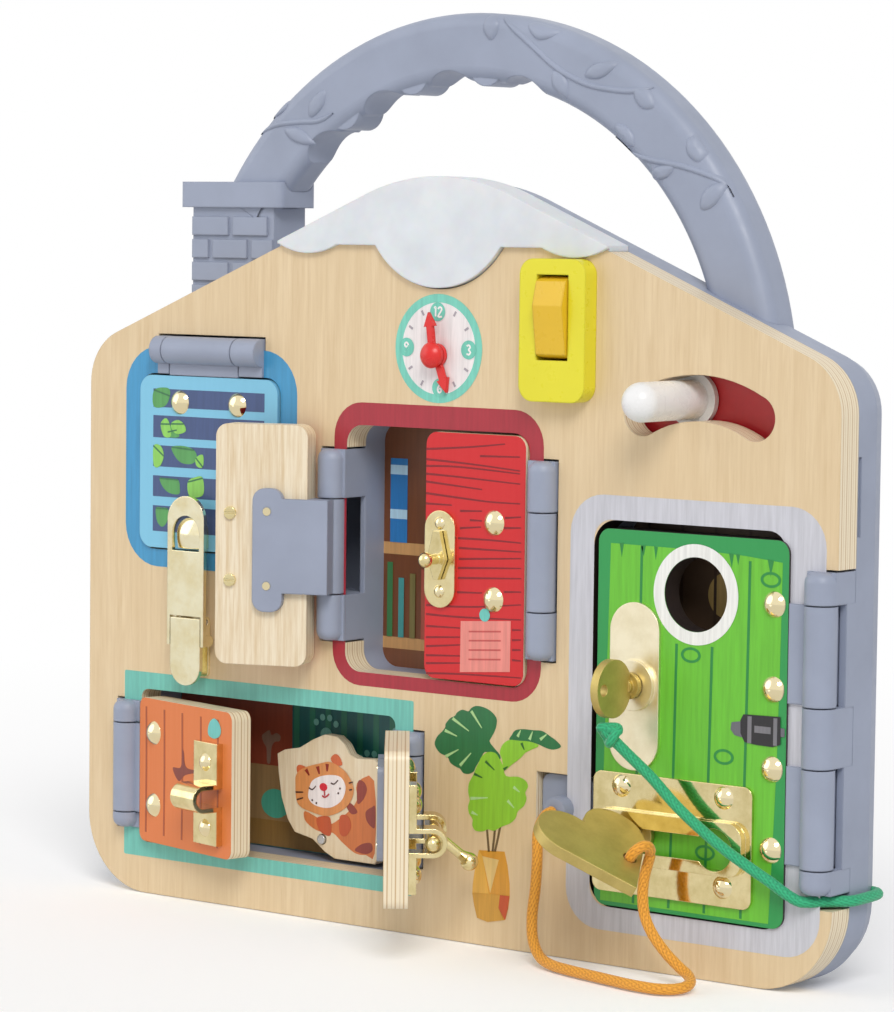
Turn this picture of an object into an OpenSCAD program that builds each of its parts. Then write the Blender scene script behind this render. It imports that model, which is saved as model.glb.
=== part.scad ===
// Busy board shaped like a house: a plywood front on a grey moulded housing with a carry
// handle, five small doors and shutters, a lamp switch, a clock, a slide, locks and two cords.
// Millimetres. +X right, +Z up, the front faces -Y. The board stands on z = 0.

/* [Board] */
// Width of the board
board_w = 290; // [286:1:296]
// Depth from the plywood's front face to the housing's back
body_d = 30; // [30:1:36]
// Thickness of the plywood front
panel_t = 9.5; // [9.5:0.5:10]
// Height of the eaves, where wall and roof lines would meet
eave_z = 180; // [180:1:184]
// Slope of the roof
roof_deg = 22.6; // [22.6:0.2:23.4]
// Radius of the two bottom corners
base_r = 25; // [20:1:28]
// Radius of the two eaves
eave_r = 18; // [14:1:20]

/* [Housing] */
// Wall of the housing
wall = 2.4; // [2:0.2:3]
// Wall of the boxes behind the openings
well_wall = 2; // [1.6:0.2:2.4]
// Depth of the boxes' floors behind the panel's front face
floor_y = 19.8; // [19:0.2:21]
// Depth of the pads that the picture cards lie on
card_t = 0.6; // [0.4:0.1:1]

/* [Handle] */
// Outer radius of the handle's arch
arch_r = 115; // [113:1:117]
// Width of the handle's band, seen from the front
arch_w = 21; // [18:1:23]
// Thickness of the handle, front to back
arch_d = 15.5; // [14:0.5:17]
// Height of the arch's centre
arch_z = 171.5; // [170:0.5:174]
// Where the handle's front face lies behind the panel's front face
arch_y = 12; // [11:0.5:13]

/* [Doors] */
// Thickness of the shutters and doors
leaf_t = 7.5; // [6:0.5:7.5]
// Gap round a closed leaf
leaf_gap = 0.6; // [0.4:0.1:1]
// How far the leaves and the hinge axes stand in front of the panel
proud = 1; // [0.5:0.5:2]
// Opening of the left shutter in the photographed pose
shutter_open = 160; // [0:5:160]
// Opening of the orange door in the photographed pose
den_left_open = 13.4; // [0:0.1:150]
// Opening of the lower right small door in the photographed pose
den_right_open = 128; // [0:1:145]

/* [Hinges] */
// Radius of the small hinge barrels
barrel_r = 4.5; // [4:0.1:4.8]
// Radius of the front door's hinge barrel
door_barrel_r = 4.9; // [4.6:0.1:5]
// Radius of the steel hinge pins
pin_r = 1; // [0.8:0.1:1.2]
// Clearance of a bore that turns on a pin
bore_gap = 0.2; // [0.15:0.05:0.3]
// Gap between the knuckles
knuckle_gap = 0.4; // [0.3:0.1:0.6]
// Thickness of the hinge plates behind the doors
hinge_t = 2.2; // [1.8:0.2:2.4]

/* [Fittings] */
// Radius of the domed rivet heads
rivet_r = 3.9; // [3:0.1:4.2]
// Height of the domed rivet heads
rivet_h = 2; // [1.5:0.1:2.5]
// Radius of the rivet shanks
shank_r = 1.3; // [1:0.1:1.6]
// Thickness of the brass plates
brass_t = 1.2; // [1:0.1:1.5]
// Diameter of the cords
cord_d = 3.4; // [3:0.1:3.6]

/* [Part] */
// Which sub-part to draw

/* [Hidden] */
$fn = 48;

grey = [0.61, 0.65, 0.73];
wood = [0.88, 0.77, 0.58];
brass = [0.85, 0.72, 0.42];
steel = [0.75, 0.76, 0.78];
back_y = body_d;
left_x = -board_w / 2;
right_x = board_w / 2;
apex_z = eave_z + board_w / 2 * tan(roof_deg);
ridge_r = 71.4;
ridge_z = apex_z - ridge_r / cos(roof_deg);
leaf_y = -proud;
leaf_back = leaf_y + leaf_t;
plate_y = leaf_back;
bore_r = pin_r + bore_gap;

// openings of the panel as [x0, z0, x1, z1]
blue_open = [left_x + 22.2, 114.2, left_x + 82, 171.8];
den_open = [left_x + 23.3, 16.9, left_x + 129.7, 67.8];
mid_open = [-35.8, 80.7, 35.3, 158.4];
door_open = [right_x - 85.4, 17.6, right_x - 12.4, 134.1];
open_r = 6;

// hinge axes and the heights of their barrels
blue_hinge_z = 179.6;
blue_hinge = [left_x + 30.4, left_x + 74.8];
blue_knuckle = [left_x + 35.2, left_x + 65.1];
mid_hinge_x = 41;
mid_hinge = [90, 150.5];
mid_knuckle = [104.6, 135.2];
den_hinge_l = left_x + 17.7;
den_hinge_r = left_x + 136.1;
den_hinge = [21.5, 63.7];
den_knuckle = [26.6, 56.7];
door_hinge_x = right_x - 5;
door_hinge = [30, 123.4];
door_knuckle_a = [84.2, 114];
door_knuckle_b = [37.2, 66.8];

// leaves as [x0, z0, x1, z1] when closed
blue_leaf = [blue_open[0] + leaf_gap, 114.8, blue_open[2] - leaf_gap, 171.2];
left_leaf = [-35.5, 81.8, -4.8, 158];
right_leaf = [-3.5, 81.3, 34.6, 157.6];
den_left_leaf = [den_hinge_l + 7.5, 18, den_hinge_l + 58.9, 65.4];
den_right_leaf = [den_left_leaf[2] + 1.6, 18, den_hinge_r - 7.5, 65.4];
door_leaf = [door_open[0] + 2.4, 18.3, door_hinge_x - 11, 131.6];

// the recess behind the front door
porch = [door_open[0], door_open[1], door_leaf[2] + 1, door_open[3]];

clock_at = [0, 181.2];
slide_at = [right_x - 48.9, 130.8];
slide_r = 40.7;
slot_half = 6.8;
peg_r = 5.9;
slot_deg = 29;
peg_deg = 13;
bezel = [35, 168.6, 59.2, 211.5];
rocker_at = [47.2, 193.9];
lens_at = [0, apex_z - 9.36];
lens_r = 29.2;
lock_at = [right_x - 68.8, 85.6];
hasp = [right_x - 82.9, 22.9, right_x - 26.5, 59];
latch_x = left_x + 47.7;
cat_at = [den_open[0] + 69.7, 24];
anchor_at = [right_x - 95.5, 45.5];
cord_hole = [24.5, 28];

module at_face() translate([0, -body_d / 2, 0]) children();

// extrudes an (x, z) drawing from depth y0 over t
module slab(y0, t) translate([0, y0 + t, 0]) rotate([90, 0, 0]) linear_extrude(t) children();

module rrect(b, r) {
    translate([b[0] + r, b[1]]) square([b[2] - b[0] - 2 * r, b[3] - b[1]]);
    translate([b[0], b[1] + r]) square([b[2] - b[0], b[3] - b[1] - 2 * r]);
    for (x = [b[0] + r, b[2] - r])
        for (z = [b[1] + r, b[3] - r])
            translate([x, z]) circle(r);
}

function grow(b, d) = [b[0] - d, b[1] - d, b[2] + d, b[3] + d];

module box_of(b, y0, y1) translate([b[0], y0, b[1]]) cube([b[2] - b[0], y1 - y0, b[3] - b[1]]);

// a cylinder along Y from y0 to y1
module rod_y(x, z, r, y0, y1) translate([x, y1, z]) rotate([90, 0, 0]) cylinder(r = r, h = y1 - y0);

// the house outline, moved inward by d
module house_2d(d = 0) {
    hw = board_w / 2 - d;
    r1 = base_r - d;
    r2 = eave_r - d;
    rr = ridge_r - d;
    rise = [rr * sin(roof_deg), ridge_z + rr * cos(roof_deg)];
    ez = apex_z - d / cos(roof_deg) - hw * tan(roof_deg);
    t = r2 / tan((90 + roof_deg) / 2);
    side = [[hw - r1, d], [hw, d + r1], [hw, ez - t], [hw - t * cos(roof_deg), ez + t * sin(roof_deg)]];
    polygon(concat(side, [rise, [-rise[0], rise[1]]], [for (i = [3:-1:0]) [-side[i][0], side[i][1]]]));
    translate([0, ridge_z]) circle(rr);
    for (s = [-1, 1]) {
        translate([s * (hw - r1), d + r1]) circle(r1);
        translate([s * (hw - r2), ez - t]) circle(r2);
    }
}

// a hinge barrel along Z at x with rounded outer ends
module barrel(x, z0, z1, r, low_end = false, high_end = false) {
    e = 3;
    translate([x, -proud, z0]) rotate_extrude() difference() {
        square([r, z1 - z0]);
        if (low_end) translate([r - e, 0]) corner_cut(e);
        if (high_end) translate([r - e, z1 - z0 - e]) corner_cut(e, true);
    }
}

// what a rounded corner leaves of a square with side e
module corner_cut(e, top = false) difference() {
    translate([0, top ? 0 : -1]) square([e + 1, e + 1]);
    translate([0, top ? 0 : e]) circle(e);
}

// rotates a body about a vertical hinge axis, from its closed pose
module swing(x, deg) translate([x, -proud, 0]) rotate([0, 0, deg]) translate([-x, proud, 0]) children();

// a domed rivet with its shank running back over len and a small tail
module rivet(x, z, y0, len, r = rivet_r, h = rivet_h) {
    ball = (r * r + h * h) / (2 * h);
    translate([x, y0, z]) rotate([90, 0, 0]) rotate_extrude() intersection() {
        translate([0, h - ball]) circle(ball);
        square([r, h]);
    }
    rod_y(x, z, shank_r, y0 - 0.01, y0 + len);
}

// ---- housing ----

module shell_solid() {
    slab(panel_t, 10) house_2d();
    hull() {
        slab(panel_t + 9.9, 0.1) house_2d();
        slab(panel_t + 15, 0.1) house_2d(1.6);
    }
    hull() {
        slab(panel_t + 15, 0.1) house_2d(1.6);
        slab(back_y - 0.1, 0.1) house_2d(6.5);
    }
}

wells = [blue_open, den_open, mid_open, door_open];
battery_bay = [-31, 163, 31, 196];
screw_at = [[left_x + 11, 100], [left_x + 11, 20], [-56, 8.5], [20, 11], [50, 11], [-56, 100],
    [right_x - 93, 66], [-56, 190], [62, 190], [right_x - 10, 150]];

module well_blocks() {
    for (w = wells) box_of(grow(w, well_wall), panel_t - 0.01, floor_y + well_wall);
    box_of(battery_bay, 13.5, back_y);
    for (s = screw_at) rod_y(s[0], s[1], 3.6, panel_t, back_y);
    slide_guide_block();
}

module slide_sector(r0, r1, deg) intersection() {
    translate([slide_at[0], slide_at[1]]) difference() {
        circle(r1);
        circle(r0);
    }
    translate([slide_at[0], slide_at[1]])
        polygon([[0, 0], [-2 * r1 * sin(deg), 2 * r1 * cos(deg)], [2 * r1 * sin(deg), 2 * r1 * cos(deg)]]);
}

// the round ends are a touch wider than the track, so that their arcs cross its arcs
module slot_2d(half) {
    slide_sector(slide_r - half, slide_r + half, slot_deg);
    for (s = [-1, 1])
        translate([slide_at[0] + s * slide_r * sin(slot_deg), slide_at[1] + slide_r * cos(slot_deg)])
            circle(half + 0.05);
}

module slide_guide_block() slab(panel_t, 6) slot_2d(slot_half + 4.5);

// fixed knuckles of a hinge at x, with a web running back into the housing; s = side of its door
module root_knuckle(x, z0, z1, r, web_to, low_end = false, high_end = false) {
    barrel(x, z0, z1, r, low_end, high_end);
    xa = min(x - r, web_to);
    xb = max(x + r, web_to);
    translate([xa, -proud, z0]) cube([xb - xa, panel_t + proud + 3, z1 - z0]);
}

module root_knuckles() {
    for (s = [-1, 1]) {
        edge = s < 0 ? mid_open[0] : mid_open[2];
        root_knuckle(s * mid_hinge_x, mid_hinge[0], mid_knuckle[0], barrel_r, edge, low_end = true);
        root_knuckle(s * mid_hinge_x, mid_knuckle[1], mid_hinge[1], barrel_r, edge, high_end = true);
    }
    for (h = [[den_hinge_l, den_open[0]], [den_hinge_r, den_open[2]]]) {
        root_knuckle(h[0], den_hinge[0], den_knuckle[0], barrel_r, h[1], low_end = true);
        root_knuckle(h[0], den_knuckle[1], den_hinge[1], barrel_r, h[1], high_end = true);
    }
    door_edge = door_hinge_x - door_barrel_r;
    root_knuckle(door_hinge_x, door_hinge[0], door_knuckle_b[0], door_barrel_r, door_edge, low_end = true);
    root_knuckle(door_hinge_x, door_knuckle_b[1], door_knuckle_a[0], door_barrel_r, door_edge);
    root_knuckle(door_hinge_x, door_knuckle_a[1], door_hinge[1], door_barrel_r, door_edge, high_end = true);
    blue_root_knuckles();
}

// the window's hinge lies along X
module blue_barrel(x0, x1, r) translate([x0, -proud, blue_hinge_z]) rotate([0, 90, 0])
    cylinder(r = r, h = x1 - x0);

module blue_root_knuckles() for (k = [[blue_hinge[0], blue_knuckle[0]], [blue_knuckle[1], blue_hinge[1]]]) {
    blue_barrel(k[0], k[1], barrel_r);
    translate([k[0], -proud, blue_open[3]]) cube([k[1] - k[0], panel_t + proud + 3, 12.3]);
}

module housing() color(grey) at_face() {
    difference() {
        union() {
            difference() {
                shell_solid();
                difference() {
                    slab(panel_t - 1, back_y - wall - panel_t + 1) house_2d(wall + 4.2);
                    well_blocks();
                }
                difference() {
                    slab(panel_t - 1, 10) house_2d(wall);
                    well_blocks();
                }
            }
            root_knuckles();
            door_hinge_wall();
            heart_anchor();
            chimney();
            den_hump();
            box_of(grow([door_open[0] - 4, lock_at[1] - 12.4, door_open[0] - 1, lock_at[1] + 12.4], 1.6),
                panel_t, panel_t + 5);
            for (x = [-20, 20]) rod_y(x, lens_at[1] - 22, 2.5, 12.6, back_y - 1);
            rod_y(cat_at[0], cat_at[1], 4, floor_y + 1, back_y - 1);
            for (w = [blue_open, mid_open, porch])
                rod_y((w[0] + w[2]) / 2, (w[1] + w[3]) / 2, 5, floor_y + 1, back_y - 1);
            rod_y(slide_at[0], slide_at[1] + slide_r, 5, panel_t + 5, back_y - 1);
        }
        slab(panel_t - 6, floor_y - panel_t + 6) rrect(mid_open, open_r);
        slab(panel_t - 6, floor_y - panel_t + 6) rrect(blue_open, open_r);
        slab(panel_t - 6, floor_y - panel_t + 6) rrect(den_open, 3);
        slab(panel_t - 6, floor_y - panel_t + 6) rrect(porch, open_r);
        slab(panel_t - 0.01, 3.51) slot_2d(slot_half + 2.8);
        box_of(grow(battery_bay, -2), 16, back_y + 1);
        box_of(grow(battery_bay, -0.6), back_y - 2, back_y + 1);
        arch();
        side_slit();
        for (s = screw_at) {
            rod_y(s[0], s[1], 1.4, panel_t - 1, back_y + 1);
            rod_y(s[0], s[1], 3, back_y - 2, back_y + 1);
        }
        pin_holes(pin_r);
        rod_y(cat_at[0], cat_at[1], 1.5, floor_y - 1, back_y - 3);
        cord_socket();
        cam_pocket();
    }
}

// closes the side behind the front door's moving knuckles
module door_hinge_wall() for (k = [door_knuckle_a, door_knuckle_b])
    box_of([right_x - 2.4, k[0] - 0.1, right_x, k[1] + 0.1], 5, panel_t + 0.1);

module heart_anchor() {
    slab(2.5, panel_t + 1) rrect([door_open[0] - 19.6, 41, door_open[0] - 0.5, 55.4], 3);
    rod_y(anchor_at[0], anchor_at[1], 4, -4.8, 4);
}

// a half-round hump on the den's floor
module den_hump() intersection() {
    slab(13.4, 5) translate([den_open[0] + 52, den_open[1] - 8]) circle(14.5);
    box_of([den_open[0], den_open[1] - 1, den_open[2], den_open[3]], 13, floor_y);
}

module side_slit() translate([right_x - 1.2, panel_t + 0.4, 133]) cube([3, 1.6, 23]);

// the socket for the green cord's end, in the housing's right side
module cord_socket() translate([right_x - 4.5, cord_hole[0], cord_hole[1]]) rotate([0, 90, 0])
    cylinder(r = cord_d / 2 + 0.2, h = 6);

// the pocket that the lock's cam turns into
module cam_pocket() box_of([door_open[0] - 4, lock_at[1] - 12.4, door_open[0] + 0.5, lock_at[1] + 12.4],
    panel_t - 0.01, panel_t + 3.4);

// the hinge pins, running through every barrel of a hinge
module pin_holes(r) {
    for (x = [-mid_hinge_x, mid_hinge_x])
        translate([x, -proud, mid_hinge[0] + 2]) cylinder(r = r, h = mid_hinge[1] - mid_hinge[0] - 4);
    for (x = [den_hinge_l, den_hinge_r])
        translate([x, -proud, den_hinge[0] + 1.5]) cylinder(r = r, h = den_hinge[1] - den_hinge[0] - 3);
    translate([door_hinge_x, -proud, door_hinge[0] + 2])
        cylinder(r = r, h = door_hinge[1] - door_hinge[0] - 4);
    blue_barrel(blue_hinge[0] + 1.5, blue_hinge[1] - 1.5, r);
}

module steel_pins() color(steel) at_face() {
    pin_holes(pin_r);
    rod_y(clock_at[0], clock_at[1], 1.2, -5, panel_t);
    rod_y(cat_at[0], cat_at[1], 1.5, 8.5, back_y - 3);
    latch_pin(0.7);
}

module case_screws() color(steel) at_face() for (s = screw_at) {
    rod_y(s[0], s[1], 2.8, back_y - 2, back_y - 0.4);
    rod_y(s[0], s[1], 1.4, 5, back_y - 1.9);
}

module battery_cells() color([0.3, 0.3, 0.32]) at_face() for (z = [173.8, 185.2])
    translate([-22, 21.3, z]) rotate([0, 90, 0]) {
        cylinder(r = 5.3, h = 43);
        cylinder(r = 1.9, h = 44.2);
    }

module battery_door() color(grey) at_face() difference() {
    box_of(grow(battery_bay, -0.8), back_y - 2, back_y);
    for (x = [-8:2:8]) translate([x, back_y - 0.5, 176]) cube([0.8, 1, 7]);
}

// ---- chimney and handle ----

chimney_x = -111;
chimney_w = 34.5;
chimney_cap_z = 225.9;
chimney_cap_h = 8.3;

module chimney() {
    translate([chimney_x, arch_y, 186]) cube([chimney_w, arch_d, chimney_cap_z - 186]);
    for (row = [0:3]) chimney_bricks(row);
    translate([0, 0, chimney_cap_z]) linear_extrude(chimney_cap_h)
        rrect([chimney_x - 4.6, arch_y - 1.6, chimney_x + chimney_w + 4, arch_y + arch_d + 1], 2.2);
}

module chimney_bricks(row) {
    z = chimney_cap_z - 1.6 - 7.4 * (row + 1);
    cut = row % 2 == 0 ? 16.5 : 8;
    for (b = [[0.2, cut - 1], [cut + 1, cut + 15.5], [cut + 17.5, chimney_w - 0.2]])
        if (b[1] > b[0] + 2 && b[1] < chimney_w)
            translate([chimney_x + b[0], arch_y - 0.8, z]) cube([b[1] - b[0], arch_d + 0.9, 6]);
}

// finger grips on the inner side, at these angles
grip_deg = [86, 103, 120];
hollow_deg = [77, 94.5, 111.5, 128];

module arch_point(r, deg) translate([r * cos(deg), 0, arch_z + r * sin(deg)]) children();

module arch() difference() {
    union() {
        translate([0, arch_y, arch_z]) rotate([-90, 0, 0]) rotate([0, 0, -149]) rotate_extrude(angle = 141)
            rrect([arch_r - arch_w, 0, arch_r, arch_d], 4.5);
        for (a = grip_deg) arch_point(arch_r - 16, a) rod_y(0, 0, 6.5, arch_y + 1.5, arch_y + arch_d - 1.5);
    }
    for (a = hollow_deg) arch_point(arch_r - 27.5, a) rod_y(0, 0, 10, arch_y - 1, arch_y + arch_d + 1);
}

module handle() color(grey) at_face() arch();

// ---- panel and what is on it ----

module notch(b) box_of(b, -1, panel_t + 1);

module panel() color(wood) at_face() difference() {
    slab(0, panel_t) difference() {
        house_2d();
        rrect(blue_open, open_r);
        rrect(den_open, 3);
        rrect(mid_open, open_r);
        rrect(door_open, open_r + 2);
        translate(lens_at) circle(lens_r + 0.4);
        translate([-30, apex_z - 13]) square([60, 20]);
        slot_2d(slot_half);
        translate(clock_at) circle(1.2);
        rrect(grow(bezel, -2), 3);
    }
    hinge_notches();
    notch([door_open[0] - 20.2, 40.4, door_open[0] + 1, 56]);
    for (s = screw_at) rod_y(s[0], s[1], 1.4, 5, panel_t + 1);
}

module hinge_notches() {
    g = 0.6;
    for (s = [-1, 1]) {
        xa = s * (mid_hinge_x + barrel_r + g);
        notch([min(xa, s * 34), mid_hinge[0] - g, max(xa, s * 34), mid_hinge[1] + g]);
    }
    notch([den_hinge_l - barrel_r - g, den_hinge[0] - g, den_open[0] + 1, den_hinge[1] + g]);
    notch([den_open[2] - 1, den_hinge[0] - g, den_hinge_r + barrel_r + g, den_hinge[1] + g]);
    notch([door_open[2] - 1, door_hinge[0] - 4.6, right_x + 1, door_hinge[1] + g]);
    notch([blue_hinge[0] - g, blue_open[3] - 1, blue_hinge[1] + g, blue_hinge_z + barrel_r + g]);
}

// the lamp's cap follows the roof, a little outside it, with a rounded ridge
cap_over = 1.6;
cap_apex = apex_z + cap_over / cos(roof_deg);

module under_roof(w, top) polygon([[-w, 195], [w, 195], [w, top - w * tan(roof_deg)], [0, top],
    [-w, top - w * tan(roof_deg)]]);

module cap_roof() intersection() {
    under_roof(63.8, cap_apex);
    union() {
        translate([0, ridge_z]) circle(ridge_r + cap_over);
        for (s = [-1, 1]) translate([s * 48 - 20, 190]) square([40, 45]);
    }
}

module cap_2d() intersection() {
    cap_roof();
    union() {
        translate([-64, lens_at[1] - 16.4]) square([128, 30]);
        for (s = [-1, 1]) translate([s * 51.5, lens_at[1] + 6.3]) circle(25.5);
        translate(lens_at) circle(lens_r);
    }
}

module lamp_cap() color([0.97, 0.95, 0.88]) at_face() {
    slab(-1.5, 1.5) cap_2d();
    slab(-0.1, 9.6) difference() {
        intersection() {
            cap_roof();
            translate([-64, lens_at[1] - 26]) square([128, 40]);
        }
        difference() {
            house_2d();
            translate([-29, apex_z - 12]) square([58, 20]);
        }
        intersection() {
            under_roof(64, cap_apex - 3.6);
            translate([0, ridge_z]) circle(ridge_r - 2);
        }
    }
    slab(-0.1, 10.7) intersection() {
        translate(lens_at) difference() {
            circle(lens_r);
            circle(lens_r - 1.5);
        }
        translate([0, ridge_z]) circle(ridge_r - 3);
    }
}

module lamp_board() color([0.92, 0.93, 0.9]) at_face() slab(11, 1.6) intersection() {
    translate(lens_at) circle(24.8);
    translate([-24, lens_at[1] - 26]) square([48, 22.3]);
}

module lamp_leds() color([1, 0.97, 0.8]) at_face() for (x = [-11, 0, 11]) {
    rod_y(x, lens_at[1] - 12, 2.5, 8.2, 11);
    translate([x, 8.2, lens_at[1] - 12]) sphere(2.5);
}

// ---- lamp switch ----

module switch_bezel() color([0.9, 0.86, 0.2]) at_face() difference() {
    union() {
        slab(-6, 6.01) rrect(bezel, 5);
        slab(0, panel_t) rrect(grow(bezel, -2.2), 3);
    }
    translate([rocker_at[0] - 5.8, -7, rocker_at[1] - 12.8]) cube([11.6, panel_t + 8, 25.6]);
    translate([rocker_at[0] - 7, -1, rocker_at[1]]) rotate([0, 90, 0]) cylinder(r = 1.45, h = 14);
}

module lamp_rocker() color([0.88, 0.7, 0.16]) at_face() translate([rocker_at[0], -1, rocker_at[1]]) {
    translate([-5.4, 0, 0]) rotate([90, 0, 90]) linear_extrude(10.8) intersection() {
        circle(12.4);
        polygon([[-5.4, -13], [-7.8, 3.6], [-5.4, 13], [1, 13], [1, -13]]);
    }
    translate([-6.8, 0, 0]) rotate([0, 90, 0]) cylinder(r = 1.2, h = 13.6);
}

module lamp_switch() color([0.2, 0.2, 0.22]) at_face() {
    box_of([rocker_at[0] - 9, rocker_at[1] - 15, rocker_at[0] + 9, rocker_at[1] + 15], panel_t, 15);
    box_of([rocker_at[0] - 5.6, rocker_at[1] - 10, rocker_at[0] + 5.6, rocker_at[1] + 10], 4, panel_t + 0.01);
}

// ---- picture cards in the recesses ----

module card(b, r) slab(floor_y - card_t, card_t) rrect(grow(b, -0.3), r);

module garden_card() color([0.45, 0.75, 0.9]) at_face() card(blue_open, open_r);

module shelf_card() color([0.7, 0.45, 0.3]) at_face() card(mid_open, open_r);

module den_card() color([0.1, 0.4, 0.42]) at_face() difference() {
    card(den_open, 3);
    rod_y(cat_at[0], cat_at[1], 1.5, floor_y - 2, floor_y + 1);
}

module porch_card() color([0.95, 0.85, 0.6]) at_face() card(porch, open_r);

module slide_card() color([0.85, 0.2, 0.2]) at_face() slab(panel_t + 2.9, card_t) slot_2d(slot_half + 2.5);

// ---- clock and slide ----

module hand_2d(len, w, tail) {
    polygon([[-w, -tail], [w, -tail], [w, len - 3], [0, len], [-w, len - 3]]);
    translate([-w - 1, len - 4.2]) polygon([[0, 0], [2 * w + 2, 0], [w + 1, 4.4]]);
}

module clock_hand(deg, len, y0) translate([clock_at[0], y0 + 1.4, clock_at[1]])
    rotate([90, 0, 0]) rotate([0, 0, deg - 90]) linear_extrude(1.4) difference() {
        union() {
            circle(3.6);
            hand_2d(len, 1.1, 0);
        }
        circle(1.4);
    }

module clock_short_hand() color([0.85, 0.12, 0.12]) at_face() clock_hand(-70, 12, -1.8);

module clock_long_hand() color([0.85, 0.12, 0.12]) at_face() {
    clock_hand(97, 13.1, -3.6);
    difference() {
        intersection() {
            translate([clock_at[0], -2, clock_at[1]]) sphere(4.5);
            rod_y(clock_at[0], clock_at[1], 4, -8, -3.4);
        }
        rod_y(clock_at[0], clock_at[1], 1.4, -5.3, 0);
    }
}

module slide_peg() color([0.95, 0.95, 0.92]) at_face()
    translate([slide_at[0] - slide_r * sin(peg_deg), 0, slide_at[1] + slide_r * cos(peg_deg)]) {
        rod_y(0, 0, peg_r, -16, 10.1);
        rod_y(0, 0, 8.3, 10, 12);
        translate([0, -16, 0]) sphere(peg_r);
    }

// ---- blue window and its latch ----

module blue_window() color([0.2, 0.6, 0.85]) at_face() difference() {
    slab(leaf_y, leaf_t) rrect(blue_leaf, 5);
    for (r = blue_rivets) rod_y(r[0], r[1], shank_r, -3, panel_t);
}

blue_rivets = [[left_x + 40.1, 162.6], [left_x + 64.5, 162.6]];

module blue_window_hinge() color(grey) at_face() difference() {
    union() {
        blue_barrel(blue_knuckle[0] + knuckle_gap, blue_knuckle[1] - knuckle_gap, barrel_r);
        box_of([blue_knuckle[0] + knuckle_gap, blue_leaf[3] + 0.2, blue_knuckle[1] - knuckle_gap, 181],
            -proud, plate_y + hinge_t);
        box_of([blue_knuckle[0] + knuckle_gap, 165, blue_knuckle[1] - knuckle_gap, 172],
            plate_y, plate_y + hinge_t);
        slab(plate_y, hinge_t) rrect([blue_knuckle[0] - 2, 156, blue_knuckle[1] + 2, blue_leaf[3]], 3);
    }
    blue_barrel(blue_hinge[0], blue_hinge[1], bore_r);
    for (r = blue_rivets) rod_y(r[0], r[1], shank_r, -3, panel_t);
}

module blue_window_rivets() color(steel) at_face() for (r = blue_rivets) rivet(r[0], r[1], leaf_y, 9.8);

keeper_z = 120.7;

module window_keeper() color(brass) at_face() intersection() {
    slab(-6.2, 6.2 - proud) {
        translate([latch_x, keeper_z]) circle(5);
        translate([latch_x - 5, keeper_z - 5]) square([10, 5]);
    }
    translate([latch_x, 7, keeper_z - 1]) sphere(13);
}

latch_z = 92;
bail_z = 86;
latch_y = -3.2;

module latch_pin(r) translate([latch_x - 6.3, latch_y, latch_z]) rotate([0, 90, 0]) cylinder(r = r, h = 12.6);

// an (y, z) drawing extruded along X from x0
module across(x0, w) translate([latch_x + x0, 0, 0]) rotate([90, 0, 90]) linear_extrude(w) children();

module latch_base() color(brass) at_face() difference() {
    union() {
        slab(-1, 1) rrect([latch_x - 5.2, 74, latch_x + 5.2, 93.4], 1.5);
        for (x = [-5.2, 4.2]) across(x, 1) {
            translate([latch_y, latch_z]) circle(1.4);
            translate([latch_y, 88.5]) square([2.4, 4.9]);
        }
    }
    latch_pin(0.7);
}

module latch_lever() color(brass) at_face() difference() {
    union() {
        slab(-6.5, 1.5) {
            translate([latch_x - 6.3, 77.6]) square([12.6, 15.6]);
            translate([latch_x, 77.6]) circle(6.3);
        }
        for (x = [-6.3, 5.4]) across(x, 0.9) {
            for (z = [latch_z, bail_z]) translate([latch_y, z]) circle(1.9);
            translate([latch_y - 1.9, bail_z - 1]) square([3.8, latch_z - bail_z + 1]);
            translate([-5.1, bail_z - 1.9]) square([1.9, 9.1]);
        }
    }
    latch_pin(0.9);
    translate([latch_x - 7, latch_y, bail_z]) rotate([0, 90, 0]) cylinder(r = 0.9, h = 14);
}

module latch_bail() color(brass) at_face() {
    slab(-6.5, 1.5) difference() {
        union() {
            translate([latch_x, 125.05]) circle(7.75);
            translate([latch_x - 7.75, 93.9]) square([15.5, 31.2]);
        }
        translate([latch_x, keeper_z]) circle(5.75);
        translate([latch_x - 5.75, 115]) square([11.5, keeper_z - 115]);
    }
    for (s = [-1, 1]) {
        across(s > 0 ? 6.6 : -7.75, 1.15) {
            translate([-6.5, bail_z]) square([1.5, 9]);
            translate([-6.5, bail_z - 1.8]) square([-latch_y, 3.6]);
            translate([latch_y, bail_z]) circle(1.8);
        }
        across(s > 0 ? 5.5 : -6.7, 1.2) translate([latch_y, bail_z]) circle(0.7);
    }
}

// ---- small doors and shutters ----

// a moving knuckle at x with its plate on the back of a leaf, reaching to far_x; the leaf's
// edge is at edge_x
module leaf_hinge(x, edge_x, far_x, z0, z1, r) {
    s = far_x > x ? 1 : -1;
    za = z0 + knuckle_gap;
    zb = z1 - knuckle_gap;
    xa = x - 2 * s;
    xb = edge_x - 0.2 * s;
    barrel(x, za, zb, r);
    box_of([min(xa, xb), za, max(xa, xb), zb], -proud, plate_y + hinge_t);
    slab(plate_y, hinge_t) rrect([min(xb - s, far_x), za, max(xb - s, far_x), zb], 2);
}

module hinge_bore(x, z0, z1) translate([x, -proud, z0]) cylinder(r = bore_r, h = z1 - z0);

module mid_leaf_hinge(s) difference() {
    union() {
        leaf_hinge(s * mid_hinge_x, s * 35.3, s * 18, mid_knuckle[0], mid_knuckle[1], barrel_r);
        slab(plate_y, hinge_t) rrect([min(s * 18, s * 28), 99, max(s * 18, s * 28), 138], 4);
    }
    hinge_bore(s * mid_hinge_x, 99, 140);
    mid_rivet_holes(s);
}

mid_rivet_z = [107.2, 130.7];

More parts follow.
